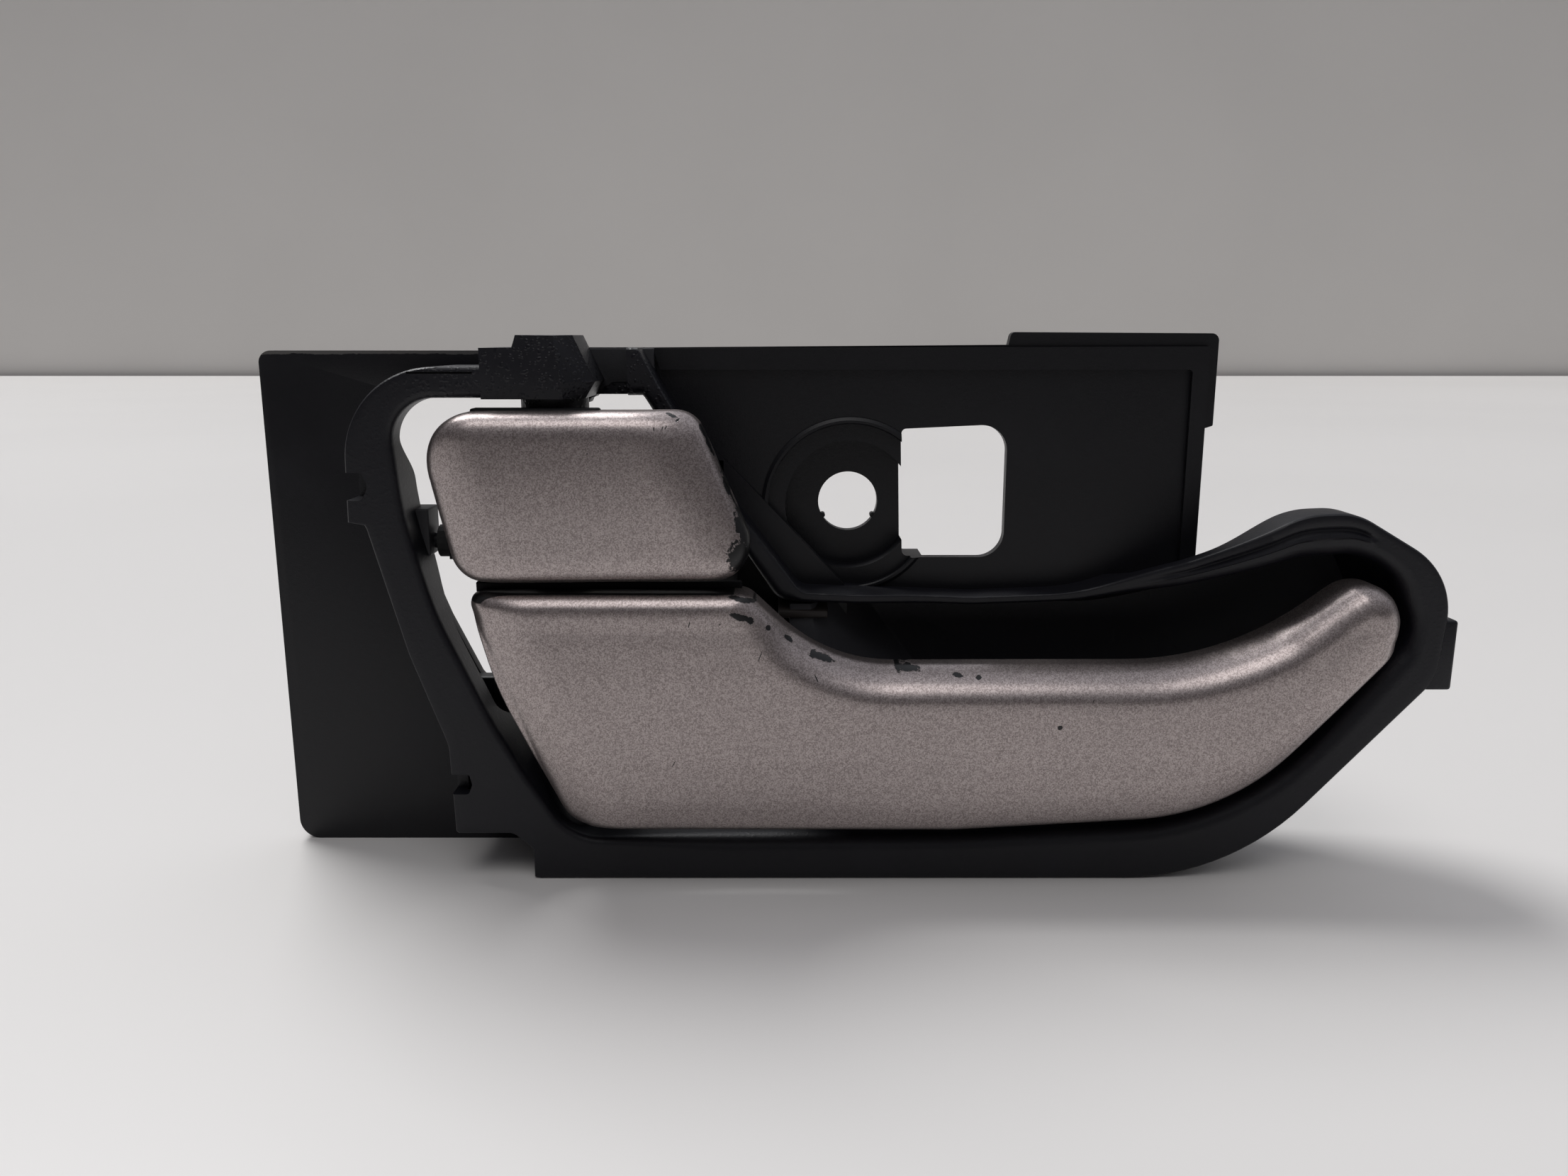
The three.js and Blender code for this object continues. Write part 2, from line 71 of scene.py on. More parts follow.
# Where the rim changes along its length
FACE_RIGHT, FACE_TOP = 8, 39
CHEEK_X = 41.0
RAMP_START, RAMP_END = 84, 114

# Outlines are [x, z, corner radius]
RIM_OUTER = [
    (-4.9, 0, 0), (107.5, 0, 38), (137.4, 33.4, 8), (138.7, 50.2, 12.5), (122.5, 59.7, 10), (114.5, 59.4, 14),
    (99, 51.3, 30), (84, 45.2, 30), (66, 44.5, 30), (38.2, 45.7, 3), (26.8, 60.8, 40), (15.6, 79.3, 0),
    (13.2, 84.2, 0), (-9.5, 84.2, 0), (-9.5, 81.5, 0), (-30.2, 81.5, 14), (-30.8, 58, 0), (-28.2, 57.8, 0),
    (-22.9, 37.5, 20), (-17.6, 22.5, 6), (-17.2, 7.8, 0), (-8, 7.8, 2), (-4.9, 5, 0),
]
RIM_INNER = [
    (1.2, 6.9, 9), (62, 7.2, 0), (110, 9.6, 42), (133.9, 40.6, 6), (127.8, 53.5, 9), (114.5, 52.5, 12),
    (98, 47, 30), (84, 43.9, 30), (66, 43.2, 30), (34.6, 44.2, 3.5), (24.4, 59.7, 40), (13.6, 76.9, 0),
    (-23.9, 76.9, 6.5), (-22.3, 59, 40), (-18.4, 44, 40), (-10.3, 26, 40), (-5.9, 18, 30),
]
LEVER_OUTLINE = [
    (1.9, 9.6, 6), (62, 9.5, 0), (104.8, 12.1, 34), (131.2, 41.1, 6), (125.7, 52.4, 6), (104.6, 36.2, 45),
    (42.4, 36.1, 25), (29.9, 48, 3.5), (-13.4, 48, 2.2), (-8.8, 32.5, 60),
]
KNOB_OUTLINE = [(-14.2, 49.4, 5), (33.2, 49.8, 5.5), (22.3, 75.2, 4.5), (-19.8, 75.1, 8)]
LEFT_FLANGE = [
    (-49, 0, 3.5), (4, 0, 0), (4, 19, 0), (-7, 19, 0), (-16, 30, 0), (-20.7, 40, 0), (-24.5, 50, 0),
    (-27.5, 60, 0), (-28.4, 70, 0), (-28.4, 77.5, 0), (-5, 77.5, 0), (-5, 83.7, 0), (-49, 83.7, 2),
]
CORNER_WEB = [(18.5, 74), (20, 61), (27, 48), (31.5, 30), (46, 30), (46, 45), (30, 62)]
SCREW_HOLE = (46.3, 58.6)


def at(x, y, z):
    """A layout point in the frame, in metres."""
    return ORIGIN + Vector((x, y, z)) * MM


def flat_at(x, z):
    """A layout point dropped to depth zero in the frame, for marks that go right through."""
    place = at(x, 0, z)
    return (place.x, 0, place.z)


def rounded(corners, step=6.0):
    """Points along an outline whose corners are rounded with arcs, one point every few degrees."""
    points = []
    for i, (x, z, radius) in enumerate(corners):
        corner = Vector((x, z))
        if radius == 0:
            points.append(corner)
            continue
        back = (Vector(corners[i - 1][:2]) - corner).normalized()
        onward = (Vector(corners[(i + 1) % len(corners)][:2]) - corner).normalized()
        half = back.angle(onward) / 2
        centre = corner + (back + onward).normalized() * radius / math.sin(half)
        start = corner + back * radius / math.tan(half) - centre
        side = 1 if onward.x * back.y - onward.y * back.x > 0 else -1
        turn = side * (math.pi - 2 * half)
        steps = max(2, math.ceil(abs(math.degrees(turn)) / step))
        for k in range(steps + 1):
            angle = turn * k / steps
            cosine, sine = math.cos(angle), math.sin(angle)
            spoke = (start.x * cosine - start.y * sine, start.x * sine + start.y * cosine)
            points.append(centre + Vector(spoke))
    return points


def offset(points, distance):
    """The same outline moved outwards by a distance, or inwards by a negative one."""
    moved = []
    for i, point in enumerate(points):
        along = (point - points[i - 1]).normalized()
        onward = (points[(i + 1) % len(points)] - point).normalized()
        outward = Vector((along.y + onward.y, -along.x - onward.x))
        moved.append(point + outward * distance / (1 + along.dot(onward)))
    return moved


def evenly(points, spacing):
    """The closed outline sampled again at an even spacing."""
    lengths = [(points[(i + 1) % len(points)] - point).length for i, point in enumerate(points)]
    total = sum(lengths)
    count = round(total / spacing)
    samples, i, run = [], 0, 0.0
    for k in range(count):
        target = total * k / count
        while run + lengths[i] < target:
            run += lengths[i]
            i += 1
        samples.append(points[i].lerp(points[(i + 1) % len(points)], (target - run) / lengths[i]))
    return samples


def smoothstep(low, high, value):
    t = min(1.0, max(0.0, (value - low) / (high - low)))
    return t * t * (3 - 2 * t)


# ---- Bench tools ---------------------------------------------------------------------------------


def clear_selection():
    if bpy.context.object and bpy.context.object.mode != "OBJECT":
        bpy.ops.object.mode_set(mode="OBJECT")
    bpy.ops.object.select_all(action="DESELECT")


def take(piece):
    clear_selection()
    piece.select_set(True)
    bpy.context.view_layer.objects.active = piece


def fresh(name):
    """Names the primitive that was just added."""
    piece = bpy.context.object
    piece.name = piece.data.name = name
    return piece


def settle(piece):
    """Moves the object's place into its mesh."""
    take(piece)
    bpy.ops.object.transform_apply(location=True, rotation=True, scale=True)
    return piece


def in_edit(piece, *steps):
    """Runs edit-mode steps on the whole mesh."""
    take(piece)
    bpy.ops.object.mode_set(mode="EDIT")
    bpy.ops.mesh.select_all(action="SELECT")
    for step in steps:
        step()
    bpy.ops.object.mode_set(mode="OBJECT")
    return piece


def modify(piece, kind, **settings):
    take(piece)
    bpy.ops.object.modifier_add(type=kind)
    modifier = piece.modifiers[-1]
    for key, value in settings.items():
        setattr(modifier, key, value)
    bpy.ops.object.modifier_apply(modifier=modifier.name)
    return piece


def soften(piece, width=0.35, segments=3, angle=28):
    """Rounds every edge sharper than an angle; the width is in millimetres."""
    return modify(piece, "BEVEL", width=width * MM, segments=segments, limit_method="ANGLE",
                  angle_limit=math.radians(angle), miter_outer="MITER_ARC", harden_normals=False)


def smooth(piece, angle=32):
    take(piece)
    bpy.ops.object.shade_smooth_by_angle(angle=math.radians(angle))
    return piece


def carve(piece, *cutters, operation="DIFFERENCE"):
    for cutter in cutters:
        modify(piece, "BOOLEAN", operation=operation, solver="EXACT", object=cutter)
        bpy.data.objects.remove(cutter)
    return piece


def unite(piece, *others):
    return carve(piece, *others, operation="UNION")


def plate(name, points, front, back):
    """An outline filled and given thickness from front to back."""
    clear_selection()
    bpy.ops.mesh.primitive_circle_add(vertices=len(points), radius=1, fill_type="NGON")
    piece = fresh(name)
    for vertex, point in zip(piece.data.vertices, points):
        vertex.co = at(point[0], front, point[1])
    move = {"value": (0, (back - front) * MM, 0)}
    in_edit(
        piece,
        lambda: bpy.ops.mesh.extrude_region_move(TRANSFORM_OT_translate=move),
        lambda: bpy.ops.mesh.select_all(action="SELECT"),
        lambda: bpy.ops.mesh.normals_make_consistent(inside=False),
    )
    return piece


def block(name, x, y, z):
    clear_selection()
    bpy.ops.mesh.primitive_cube_add(size=1)
    piece = fresh(name)
    low, high = at(x[0], y[0], z[0]), at(x[1], y[1], z[1])
    for vertex in piece.data.vertices:
        vertex.co = [low[k] if vertex.co[k] < 0 else high[k] for k in range(3)]
    return piece


def drum(name, start, end, radius, sides=48):
    """A cylinder between two layout points."""
    clear_selection()
    a, b = at(*start), at(*end)
    bpy.ops.mesh.primitive_cylinder_add(
        vertices=sides, radius=radius * MM, depth=(b - a).length, location=(a + b) / 2,
        rotation=(b - a).to_track_quat("Z", "Y").to_euler())
    return settle(fresh(name))


def turned(name, profile, base, direction=(0, 0, 1), sides=64):
    """A closed [radius, height] profile spun about an axis through a layout point."""
    clear_selection()
    bpy.ops.mesh.primitive_circle_add(vertices=len(profile), radius=1, fill_type="NOTHING")
    piece = fresh(name)
    for vertex, (radius, height) in zip(piece.data.vertices, profile):
        vertex.co = (radius * MM, 0, height * MM)
    in_edit(
        piece,
        lambda: bpy.ops.mesh.spin(steps=sides, angle=math.tau, center=(0, 0, 0), axis=(0, 0, 1)),
        lambda: bpy.ops.mesh.select_all(action="SELECT"),
        lambda: bpy.ops.mesh.remove_doubles(threshold=1e-6),
        lambda: bpy.ops.mesh.normals_make_consistent(inside=False),
    )
    piece.rotation_euler = Vector(direction).to_track_quat("Z", "Y").to_euler()
    piece.location = at(*base)
    return settle(piece)


def sheet_of(name, rows, close_along=True):
    """A skin over closed rows of layout points; the last row may join the first."""
    clear_selection()
    long, wide = len(rows) + close_along, len(rows[0]) + 1
    bpy.ops.mesh.primitive_grid_add(x_subdivisions=wide - 1, y_subdivisions=long - 1, size=1)
    piece = fresh(name)
    for i, vertex in enumerate(piece.data.vertices):
        row, column = divmod(i, wide)
        vertex.co = at(*rows[row % len(rows)][column % len(rows[0])])
    in_edit(
        piece,
        lambda: bpy.ops.mesh.remove_doubles(threshold=2e-6),
        lambda: bpy.ops.mesh.normals_make_consistent(inside=False),
    )
    return piece


def ride(piece, body, material, stands_for=()):
    piece.data.materials.clear()
    piece.data.materials.append(material)
    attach(piece, body)
    if stands_for:
        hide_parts(*stands_for)
    return piece


def house(piece, material):
    """Makes a piece part of the housing."""
    return ride(piece, "housing", material, ["housing"])


# ---- Shader tools --------------------------------------------------------------------------------


class Shader:
    """Places nodes in one tree, linking what is a socket and setting what is a value."""

    def __init__(self, tree):
        self.tree = tree

    def feed(self, socket, value):
        if isinstance(value, bpy.types.NodeSocket):
            self.tree.links.new(value, socket)
        else:
            socket.default_value = value

    def node(self, kind, inputs=None, **settings):
        made = self.tree.nodes.new(kind)
        for key, value in settings.items():
            setattr(made, key, value)
        for key, value in (inputs or {}).items():
            self.feed(made.inputs[key], value)
        return made

    def group(self, tree, inputs):
        return self.node("ShaderNodeGroup", inputs, node_tree=tree)

    def math(self, operation, a, b=0.0):
        return self.node("ShaderNodeMath", {0: a, 1: b}, operation=operation).outputs[0]

    def vector(self, operation, a, b=(0, 0, 0)):
        made = self.node("ShaderNodeVectorMath", {0: a, 1: b}, operation=operation)
        return made.outputs["Value" if operation in ("LENGTH", "DOT_PRODUCT", "DISTANCE") else "Vector"]

    def mix(self, factor, a, b):
        made = self.node("ShaderNodeMix", data_type="RGBA")
        for name, value in (("Factor_Float", factor), ("A_Color", a), ("B_Color", b)):
            self.feed(next(socket for socket in made.inputs if socket.identifier == name), value)
        return next(socket for socket in made.outputs if socket.identifier == "Result_Color")

    def span(self, value, low, high, to_low=0.0, to_high=1.0):
        return self.node("ShaderNodeMapRange", {"Value": value, "From Min": low, "From Max": high,
                                                "To Min": to_low, "To Max": to_high},
                         interpolation_type="SMOOTHSTEP").outputs["Result"]

    def noise(self, place, scale, detail=2.0, roughness=0.5):
        return self.node("ShaderNodeTexNoise", {"Vector": place, "Scale": scale, "Detail": detail,
                                                "Roughness": roughness}).outputs["Fac"]

    def speckle(self, place, scale, feature="F1"):
        return self.node("ShaderNodeTexVoronoi", {"Vector": place, "Scale": scale}, feature=feature)

    def bump(self, height, strength, distance, normal=None):
        inputs = {"Height": height, "Strength": strength, "Distance": distance}
        if normal:
            inputs["Normal"] = normal
        return self.node("ShaderNodeBump", inputs).outputs["Normal"]


def rgba(red, green, blue):
    return (red, green, blue, 1.0)


def scaled(color, factor, lift=0.0):
    """The same colour darker or paler."""
    return tuple(channel * factor + lift for channel in color[:3]) + (1.0,)


def new_group(name, inputs, outputs):
    """A node group with named sockets; inputs are (name, kind, default)."""
    tree = bpy.data.node_groups.new(name, "ShaderNodeTree")
    for label, kind, default in inputs:
        socket = tree.interface.new_socket(label, in_out="INPUT", socket_type=f"NodeSocket{kind}")
        socket.default_value = default
    for label, kind in outputs:
        tree.interface.new_socket(label, in_out="OUTPUT", socket_type=f"NodeSocket{kind}")
    shader = Shader(tree)
    return tree, shader, shader.node("NodeGroupInput").outputs, shader.node("NodeGroupOutput").inputs


def new_material(name):
    material = bpy.data.materials.new(name)
    material.use_nodes = True
    tree = material.node_tree
    surface = tree.nodes["Principled BSDF"]
    shader = Shader(tree)
    place = shader.node("ShaderNodeTexCoord").outputs["Object"]
    return material, shader, surface, place


def dress(shader, surface, **values):
    """Sets or links the surface's sockets by name, with underscores for spaces."""
    for key, value in values.items():
        shader.feed(surface.inputs[key.replace("_", " ")], value)


# ---- Shared effects ------------------------------------------------------------------------------


def make_flake_group():
    """Metallic flake: a colour that sparkles from grain to grain, and the grain's height."""
    tree, s, given, out = new_group(
        "metal_flake",
        [("Place", "Vector", (0, 0, 0)), ("Light", "Color", rgba(1, 1, 1)), ("Dark", "Color", rgba(0, 0, 0)),
         ("Scale", "Float", 5000.0)],
        [("Color", "Color"), ("Height", "Float")])
    flakes = s.speckle(given["Place"], given["Scale"])
    clouds = s.noise(given["Place"], 1400.0, 3.0, 0.6)
    level = s.math("ADD", s.math("MULTIPLY", flakes.outputs["Color"], 0.65), s.math("MULTIPLY", clouds, 0.35))
    s.tree.links.new(s.mix(s.span(level, 0.2, 0.8), given["Dark"], given["Light"]), out["Color"])
    s.tree.links.new(level, out["Height"])
    return tree


def make_chip_group():
    """A ragged chip: 1 inside a tilted ellipse in the X-Z plane, with a torn edge."""
    tree, s, given, out = new_group(
        "paint_chip",
        [("Place", "Vector", (0, 0, 0)), ("Centre", "Vector", (0, 0, 0)), ("Half Length", "Float", 0.001),
         ("Half Width", "Float", 0.0005), ("Tilt", "Float", 0.0), ("Torn", "Float", 0.6)],
        [("Mask", "Float")])
    away = s.vector("SUBTRACT", given["Place"], given["Centre"])
    tilted = s.node("ShaderNodeVectorRotate", {"Vector": away, "Angle": given["Tilt"], "Axis": (0, 1, 0)},
                    rotation_type="AXIS_ANGLE").outputs["Vector"]
    parts = s.node("ShaderNodeSeparateXYZ", {"Vector": tilted}).outputs
    across = s.math("DIVIDE", parts["X"], given["Half Length"])
    up = s.math("DIVIDE", parts["Z"], given["Half Width"])
    reach = s.math("SQRT", s.math("ADD", s.math("MULTIPLY", across, across), s.math("MULTIPLY", up, up)))
    ragged = s.math("SUBTRACT", s.noise(given["Place"], 1500.0, 3.0, 0.7), 0.5)
    tear = s.math("MULTIPLY", ragged, given["Torn"])
    edge = s.math("ADD", reach, s.math("MULTIPLY", tear, 2.4))
    s.tree.links.new(s.span(edge, 1.0, 0.86), out["Mask"])
    return tree


def make_wear_and_light_line_group():
    """A mask past a straight line with a torn edge, 1 on the far side: rubbed-off paint, and also painted
    shade and painted highlight.
    """
    tree, s, given, out = new_group(
        "wear_and_painted_light_line",
        [("Place", "Vector", (0, 0, 0)), ("Start", "Vector", (0, 0, 0)), ("Towards", "Vector", (1, 0, 0)),
         ("Torn", "Float", 0.001)],
        [("Mask", "Float")])
    past = s.vector("DOT_PRODUCT", s.vector("SUBTRACT", given["Place"], given["Start"]), given["Towards"])
    wander = s.math("SUBTRACT", s.noise(given["Place"], 260.0, 4.0, 0.65), 0.5)
    edge = s.math("ADD", past, s.math("MULTIPLY", wander, given["Torn"]))
    s.tree.links.new(s.span(edge, 0.0, 0.00008), out["Mask"])
    return tree


def make_grain_group():
    """Moulded grain: raised pips over a fine noise, as a height and a mask of the pips."""
    tree, s, given, out = new_group(
        "moulded_grain",
        [("Place", "Vector", (0, 0, 0)), ("Pip Scale", "Float", 1500.0), ("Pips", "Float", 1.0),
         ("Fine", "Float", 0.3)],
        [("Height", "Float"), ("Pip Mask", "Float")])
    wobble = s.node("ShaderNodeTexNoise", {"Vector": given["Place"], "Scale": 900.0}).outputs["Color"]
    bent = s.vector("ADD", given["Place"], s.vector("MULTIPLY", wobble, (0.0003, 0.0003, 0.0003)))
    pips = s.speckle(bent, given["Pip Scale"], "SMOOTH_F1").outputs["Distance"]
    mask = s.span(pips, 0.4, 0.16)
    fine = s.noise(given["Place"], 5200.0, 3.0, 0.6)
    height = s.math("ADD", s.math("MULTIPLY", mask, given["Pips"]), s.math("MULTIPLY", fine, given["Fine"]))
    s.tree.links.new(height, out["Height"])
    s.tree.links.new(mask, out["Pip Mask"])
    return tree


def make_dust_group():
    """Dust and rub marks: a patchy mask with a few fine scratches."""
    tree, s, given, out = new_group(
        "dust_and_rubs",
        [("Place", "Vector", (0, 0, 0)), ("Scale", "Float", 60.0), ("Amount", "Float", 0.5)],
        [("Mask", "Float")])
    patches = s.span(s.noise(given["Place"], given["Scale"], 5.0, 0.62), 0.5, 0.78)
    stretched = s.vector("MULTIPLY", given["Place"], (1.0, 1.0, 0.06))
    scratches = s.span(s.noise(stretched, 2600.0, 1.0, 0.4), 0.74, 0.8)
    both = s.math("MAXIMUM", patches, s.math("MULTIPLY", scratches, 0.7))
    s.tree.links.new(s.math("MULTIPLY", both, given["Amount"]), out["Mask"])
    return tree


FLAKE, CHIP, WEAR_AND_LIGHT_LINE = make_flake_group(), make_chip_group(), make_wear_and_light_line_group()
GRAIN, DUST = make_grain_group(), make_dust_group()

# ---- Finishes ------------------------------------------------------------------------------------

# Black of bare plastic, used for real chips and as painted shade on the lever's top face
BARE_AND_SHADE_PLASTIC = rgba(0.0018, 0.0018, 0.0022)
PAINT_ROUGHNESS = 0.34
PAINT_EDGE_WANDER, WORN_HIGHLIGHT_EDGE_WANDER = 0.4, 1.2
PIP_SCALE = 1500.0
GRAIN_RELIEF, FLAKE_RELIEF, PAINT_THICKNESS = 0.00012, 0.00006, 0.00012


def make_silver_paint(name, chips, rubbed=(), painted_shade_planes=()):
    """Warm silver metallic paint, chipped and rubbed through to black plastic.

    Past all the planes of painted_shade_planes the colour is the black of bare plastic, as painted shade.
    """
    material, s, surface, place = new_material(name)
    flake = s.group(FLAKE, {"Place": place, "Light": rgba(0.47, 0.412, 0.4), "Dark": rgba(0.24, 0.204, 0.198),
                            "Scale": 5600.0}).outputs
    bare_and_shade = None
    for x, z, long, wide, tilt in chips:
        mask = s.group(CHIP, {"Place": place, "Centre": flat_at(x, z), "Half Length": long * MM,
                              "Half Width": wide * MM, "Tilt": math.radians(tilt)}).outputs["Mask"]
        bare_and_shade = mask if bare_and_shade is None else s.math("MAXIMUM", bare_and_shade, mask)
    for x, z, towards, torn in rubbed:
        turn = math.radians(towards)
        mask = s.group(WEAR_AND_LIGHT_LINE, {"Place": place, "Start": flat_at(x, z), "Torn": torn * MM,
                                "Towards": (math.cos(turn), 0, math.sin(turn))}).outputs["Mask"]
        bare_and_shade = s.math("MAXIMUM", bare_and_shade, mask)
    # Painted shade: past all these planes the paint gives way to bare black
    inside = None
    for start, towards in painted_shade_planes:
        mask = s.group(WEAR_AND_LIGHT_LINE, {"Place": place, "Start": at(*start), "Towards": towards,
                                "Torn": PAINT_EDGE_WANDER * MM}).outputs["Mask"]
        inside = mask if inside is None else s.math("MINIMUM", inside, mask)
    if inside:
        bare_and_shade = s.math("MAXIMUM", bare_and_shade, inside)
    dust = s.group(DUST, {"Place": place, "Scale": 45.0, "Amount": 0.5}).outputs["Mask"]
    paint = s.mix(s.math("MULTIPLY", dust, 0.25), flake["Color"], rgba(0.33, 0.31, 0.3))
    grain = s.bump(flake["Height"], 0.1, FLAKE_RELIEF)
    depth = s.bump(s.math("SUBTRACT", 1.0, bare_and_shade), 0.9, PAINT_THICKNESS, grain)
    dress(s, surface, Base_Color=s.mix(bare_and_shade, paint, BARE_AND_SHADE_PLASTIC), Metallic=s.span(bare_and_shade, 0, 1, 0.92, 0.0),
          Roughness=s.math("ADD", PAINT_ROUGHNESS, s.math("MULTIPLY", dust, 0.1)), Normal=depth,
          Coat_Weight=s.span(bare_and_shade, 0, 1, 0.1, 0.0), Coat_Roughness=0.25)
    return material


def make_black_plastic(name, color, pips, roughness=0.42, coarse_above=None, worn_highlight_above=None, gloss=0.32):
    """Black moulded plastic; pips set how strong its grain is.

    It may be coarser over a span of heights and widths, and paler above a height: wear with a painted
    highlight.
    """
    material, s, surface, place = new_material(name)
    amount = pips
    if coarse_above:
        low, high, left, right = coarse_above
        parts = s.node("ShaderNodeSeparateXYZ", {"Vector": place}).outputs
        up = s.span(parts["Z"], at(0, 0, low).z, at(0, 0, high).z)
        across = s.span(parts["X"], at(left, 0, 0).x, at(right, 0, 0).x)
        amount = s.math("ADD", pips, s.math("MULTIPLY", s.math("MULTIPLY", up, across), 0.9))
    grain = s.group(GRAIN, {"Place": place, "Pip Scale": PIP_SCALE, "Pips": amount, "Fine": 0.22}).outputs
    dust = s.group(DUST, {"Place": place, "Scale": 38.0, "Amount": 0.5}).outputs["Mask"]
    shiny = s.math("MULTIPLY", s.math("MULTIPLY", grain["Pip Mask"], amount), 0.12)
    polish = s.math("SUBTRACT", roughness, shiny)
    shade = s.mix(dust, color, scaled(color, 1.7, 0.003))
    # Paler band above a height: wear and a painted highlight along the edge
    if worn_highlight_above:
        worn_highlight = s.group(WEAR_AND_LIGHT_LINE, {"Place": place, "Start": at(0, 0, worn_highlight_above), "Towards": (0, 0, 1),
                                "Torn": WORN_HIGHLIGHT_EDGE_WANDER * MM})
        shade = s.mix(s.math("MULTIPLY", worn_highlight.outputs["Mask"], 0.7), shade, rgba(0.12, 0.115, 0.11))
    dress(s, surface, Base_Color=shade,
          Roughness=s.math("ADD", polish, s.math("MULTIPLY", dust, 0.14)),
          Normal=s.bump(grain["Height"], 0.7, GRAIN_RELIEF), Specular_IOR_Level=gloss)
    return material


def make_metal(name, color, roughness, stretch=(1, 1, 1)):
    """Steel with fine drawn or turned marks along one way."""
    material, s, surface, place = new_material(name)
    marks = s.noise(s.vector("MULTIPLY", place, stretch), 900.0, 3.0, 0.6)
    stain = s.noise(place, 160.0, 4.0, 0.6)
    dress(s, surface, Base_Color=s.mix(s.span(stain, 0.45, 0.75), color, scaled(color, 0.6)), Metallic=1.0,
          Roughness=s.span(marks, 0.2, 0.8, roughness - 0.08, roughness + 0.1),
          Normal=s.bump(marks, 0.15, 0.00005))
    return material


def make_soft_plastic(name, color, roughness, scatter=0.0):
    """Nylon or rubber, slightly mottled."""
    material, s, surface, place = new_material(name)
    mottle = s.noise(place, 420.0, 4.0, 0.6)
    dress(s, surface, Base_Color=s.mix(s.span(mottle, 0.4, 0.8), color, scaled(color, 0.72)),
          Roughness=s.span(mottle, 0.2, 0.8, roughness - 0.05, roughness + 0.1),
          Normal=s.bump(s.noise(place, 3000.0), 0.2, 0.00005), Subsurface_Weight=scatter)
    surface.inputs["Subsurface Radius"].default_value = (0.002, 0.0016, 0.001)
    return material


# Chips are [x, z, half length, half width, tilt in degrees]
LEVER_CHIPS = [
    (28.9, 44.8, 2.0, 0.5, -17), (30.4, 44.3, 0.6, 0.55, 0), (33.1, 42.9, 0.36, 0.46, 20),
    (36.2, 40.9, 0.9, 0.28, -39), (41.4, 37.8, 2.0, 0.42, -19), (40.0, 38.4, 0.6, 0.5, 10),
    (54.7, 35.8, 1.9, 0.36, -2), (53.1, 35.9, 0.5, 0.55, 0), (62.2, 35.1, 0.8, 0.28, -8),
    (65.3, 34.8, 0.4, 0.28, 0), (77.5, 27.7, 0.42, 0.38, 30), (40.4, 35.3, 0.7, 0.09, -63),
    (31.9, 38.8, 0.95, 0.07, 68), (21.3, 43.7, 0.5, 0.07, 78), (25.9, 43.7, 0.16, 0.1, 40),
    (18.6, 21.8, 0.55, 0.07, 60), (29.4, 47.2, 2.3, 0.34, -13), (82.4, 31.8, 0.35, 0.06, 70),
]
KNOB_CHIPS = [
    (16.6, 72.7, 0.36, 0.09, 100), (17.8, 72.8, 0.34, 0.08, 75), (18.3, 72.9, 0.3, 0.08, 60),
    (19.2, 74.5, 0.75, 0.22, -22), (19.9, 73.9, 0.36, 0.16, 30), (18.6, 74.8, 0.5, 0.14, -10),
    (6.9, 69.2, 0.1, 0.1, 0), (27.2, 64.6, 0.7, 1.4, 20), (26.3, 68.0, 0.16, 0.5, 20),
    (30.4, 52.6, 3.0, 4.3, 24), (29.9, 57.0, 1.2, 4.2, 24),
]
# Rubs are [x, z, the way the bare side lies in degrees, how ragged]
KNOB_RUBS = [(28.5, 60.3, 23, 2.2)]
# The lever's top face past all of these planes is painted shade in bare black, each [a point on it, the way
# past it]
LEVER_PAINTED_SHADE = [((28, 0, 0), (-1, 0, 0)), ((0, -3.6, 0), (0, 1, 0)), ((0, 0, 46.4), (0, 0, 1))]

LEVER_PAINT = make_silver_paint("lever_silver_paint", LEVER_CHIPS, painted_shade_planes=LEVER_PAINTED_SHADE)
KNOB_PAINT = make_silver_paint("knob_silver_paint", KNOB_CHIPS, KNOB_RUBS)
RIM_PLASTIC = make_black_plastic("rim_black_plastic", rgba(0.0042, 0.0042, 0.0068), 0.12, 0.42,
                                 coarse_above=(70, 80, -26, -8))
WEB_PLASTIC = make_black_plastic("web_grey_plastic", rgba(0.024, 0.024, 0.027), 0.1, 0.5)
FLANGE_PLASTIC = make_black_plastic("flange_black_plastic", rgba(0.0026, 0.0026, 0.0042), 0.05, 0.42)
# The left flange's pale top edge is wear and a painted highlight
LEFT_PLASTIC = make_black_plastic("left_flange_black_plastic", rgba(0.0032, 0.0032, 0.005), 0.05, 0.42,
                                  worn_highlight_above=83.1)
# Paler brown than the rim: scuffing, with a painted highlight on the ledge's upward face
LEDGE_PLASTIC = make_black_plastic("ledge_scuff_and_highlight_plastic", rgba(0.02, 0.0165, 0.015), 0.1, 0.46)
# Paler than the rim's black: painted light that lifts the deep shade inside the pocket
POCKET_PLASTIC = make_black_plastic("pocket_black_plastic", rgba(0.024, 0.024, 0.028), 0.08, 0.5)
# Darker than the rim's black: painted shade, so the slit under the knob reads black
CARRIER_PLASTIC = make_black_plastic("carrier_black_plastic", rgba(0.002, 0.002, 0.0026), 0.1, 0.62,
                                     gloss=0.14)
GROUND_STEEL = make_metal("ground_steel", rgba(0.55, 0.55, 0.56), 0.3, (1, 1, 12))
SPRING_STEEL = make_metal("spring_steel", rgba(0.3, 0.3, 0.31), 0.36)
ZINC_STEEL = make_metal("zinc_steel", rgba(0.5, 0.48, 0.4), 0.38)
NYLON = make_soft_plastic("natural_nylon", rgba(0.72, 0.69, 0.58), 0.42, 0.15)
RUBBER = make_soft_plastic("black_rubber", rgba(0.006, 0.006, 0.006), 0.75)

# ---- Painted shells ------------------------------------------------------------------------------

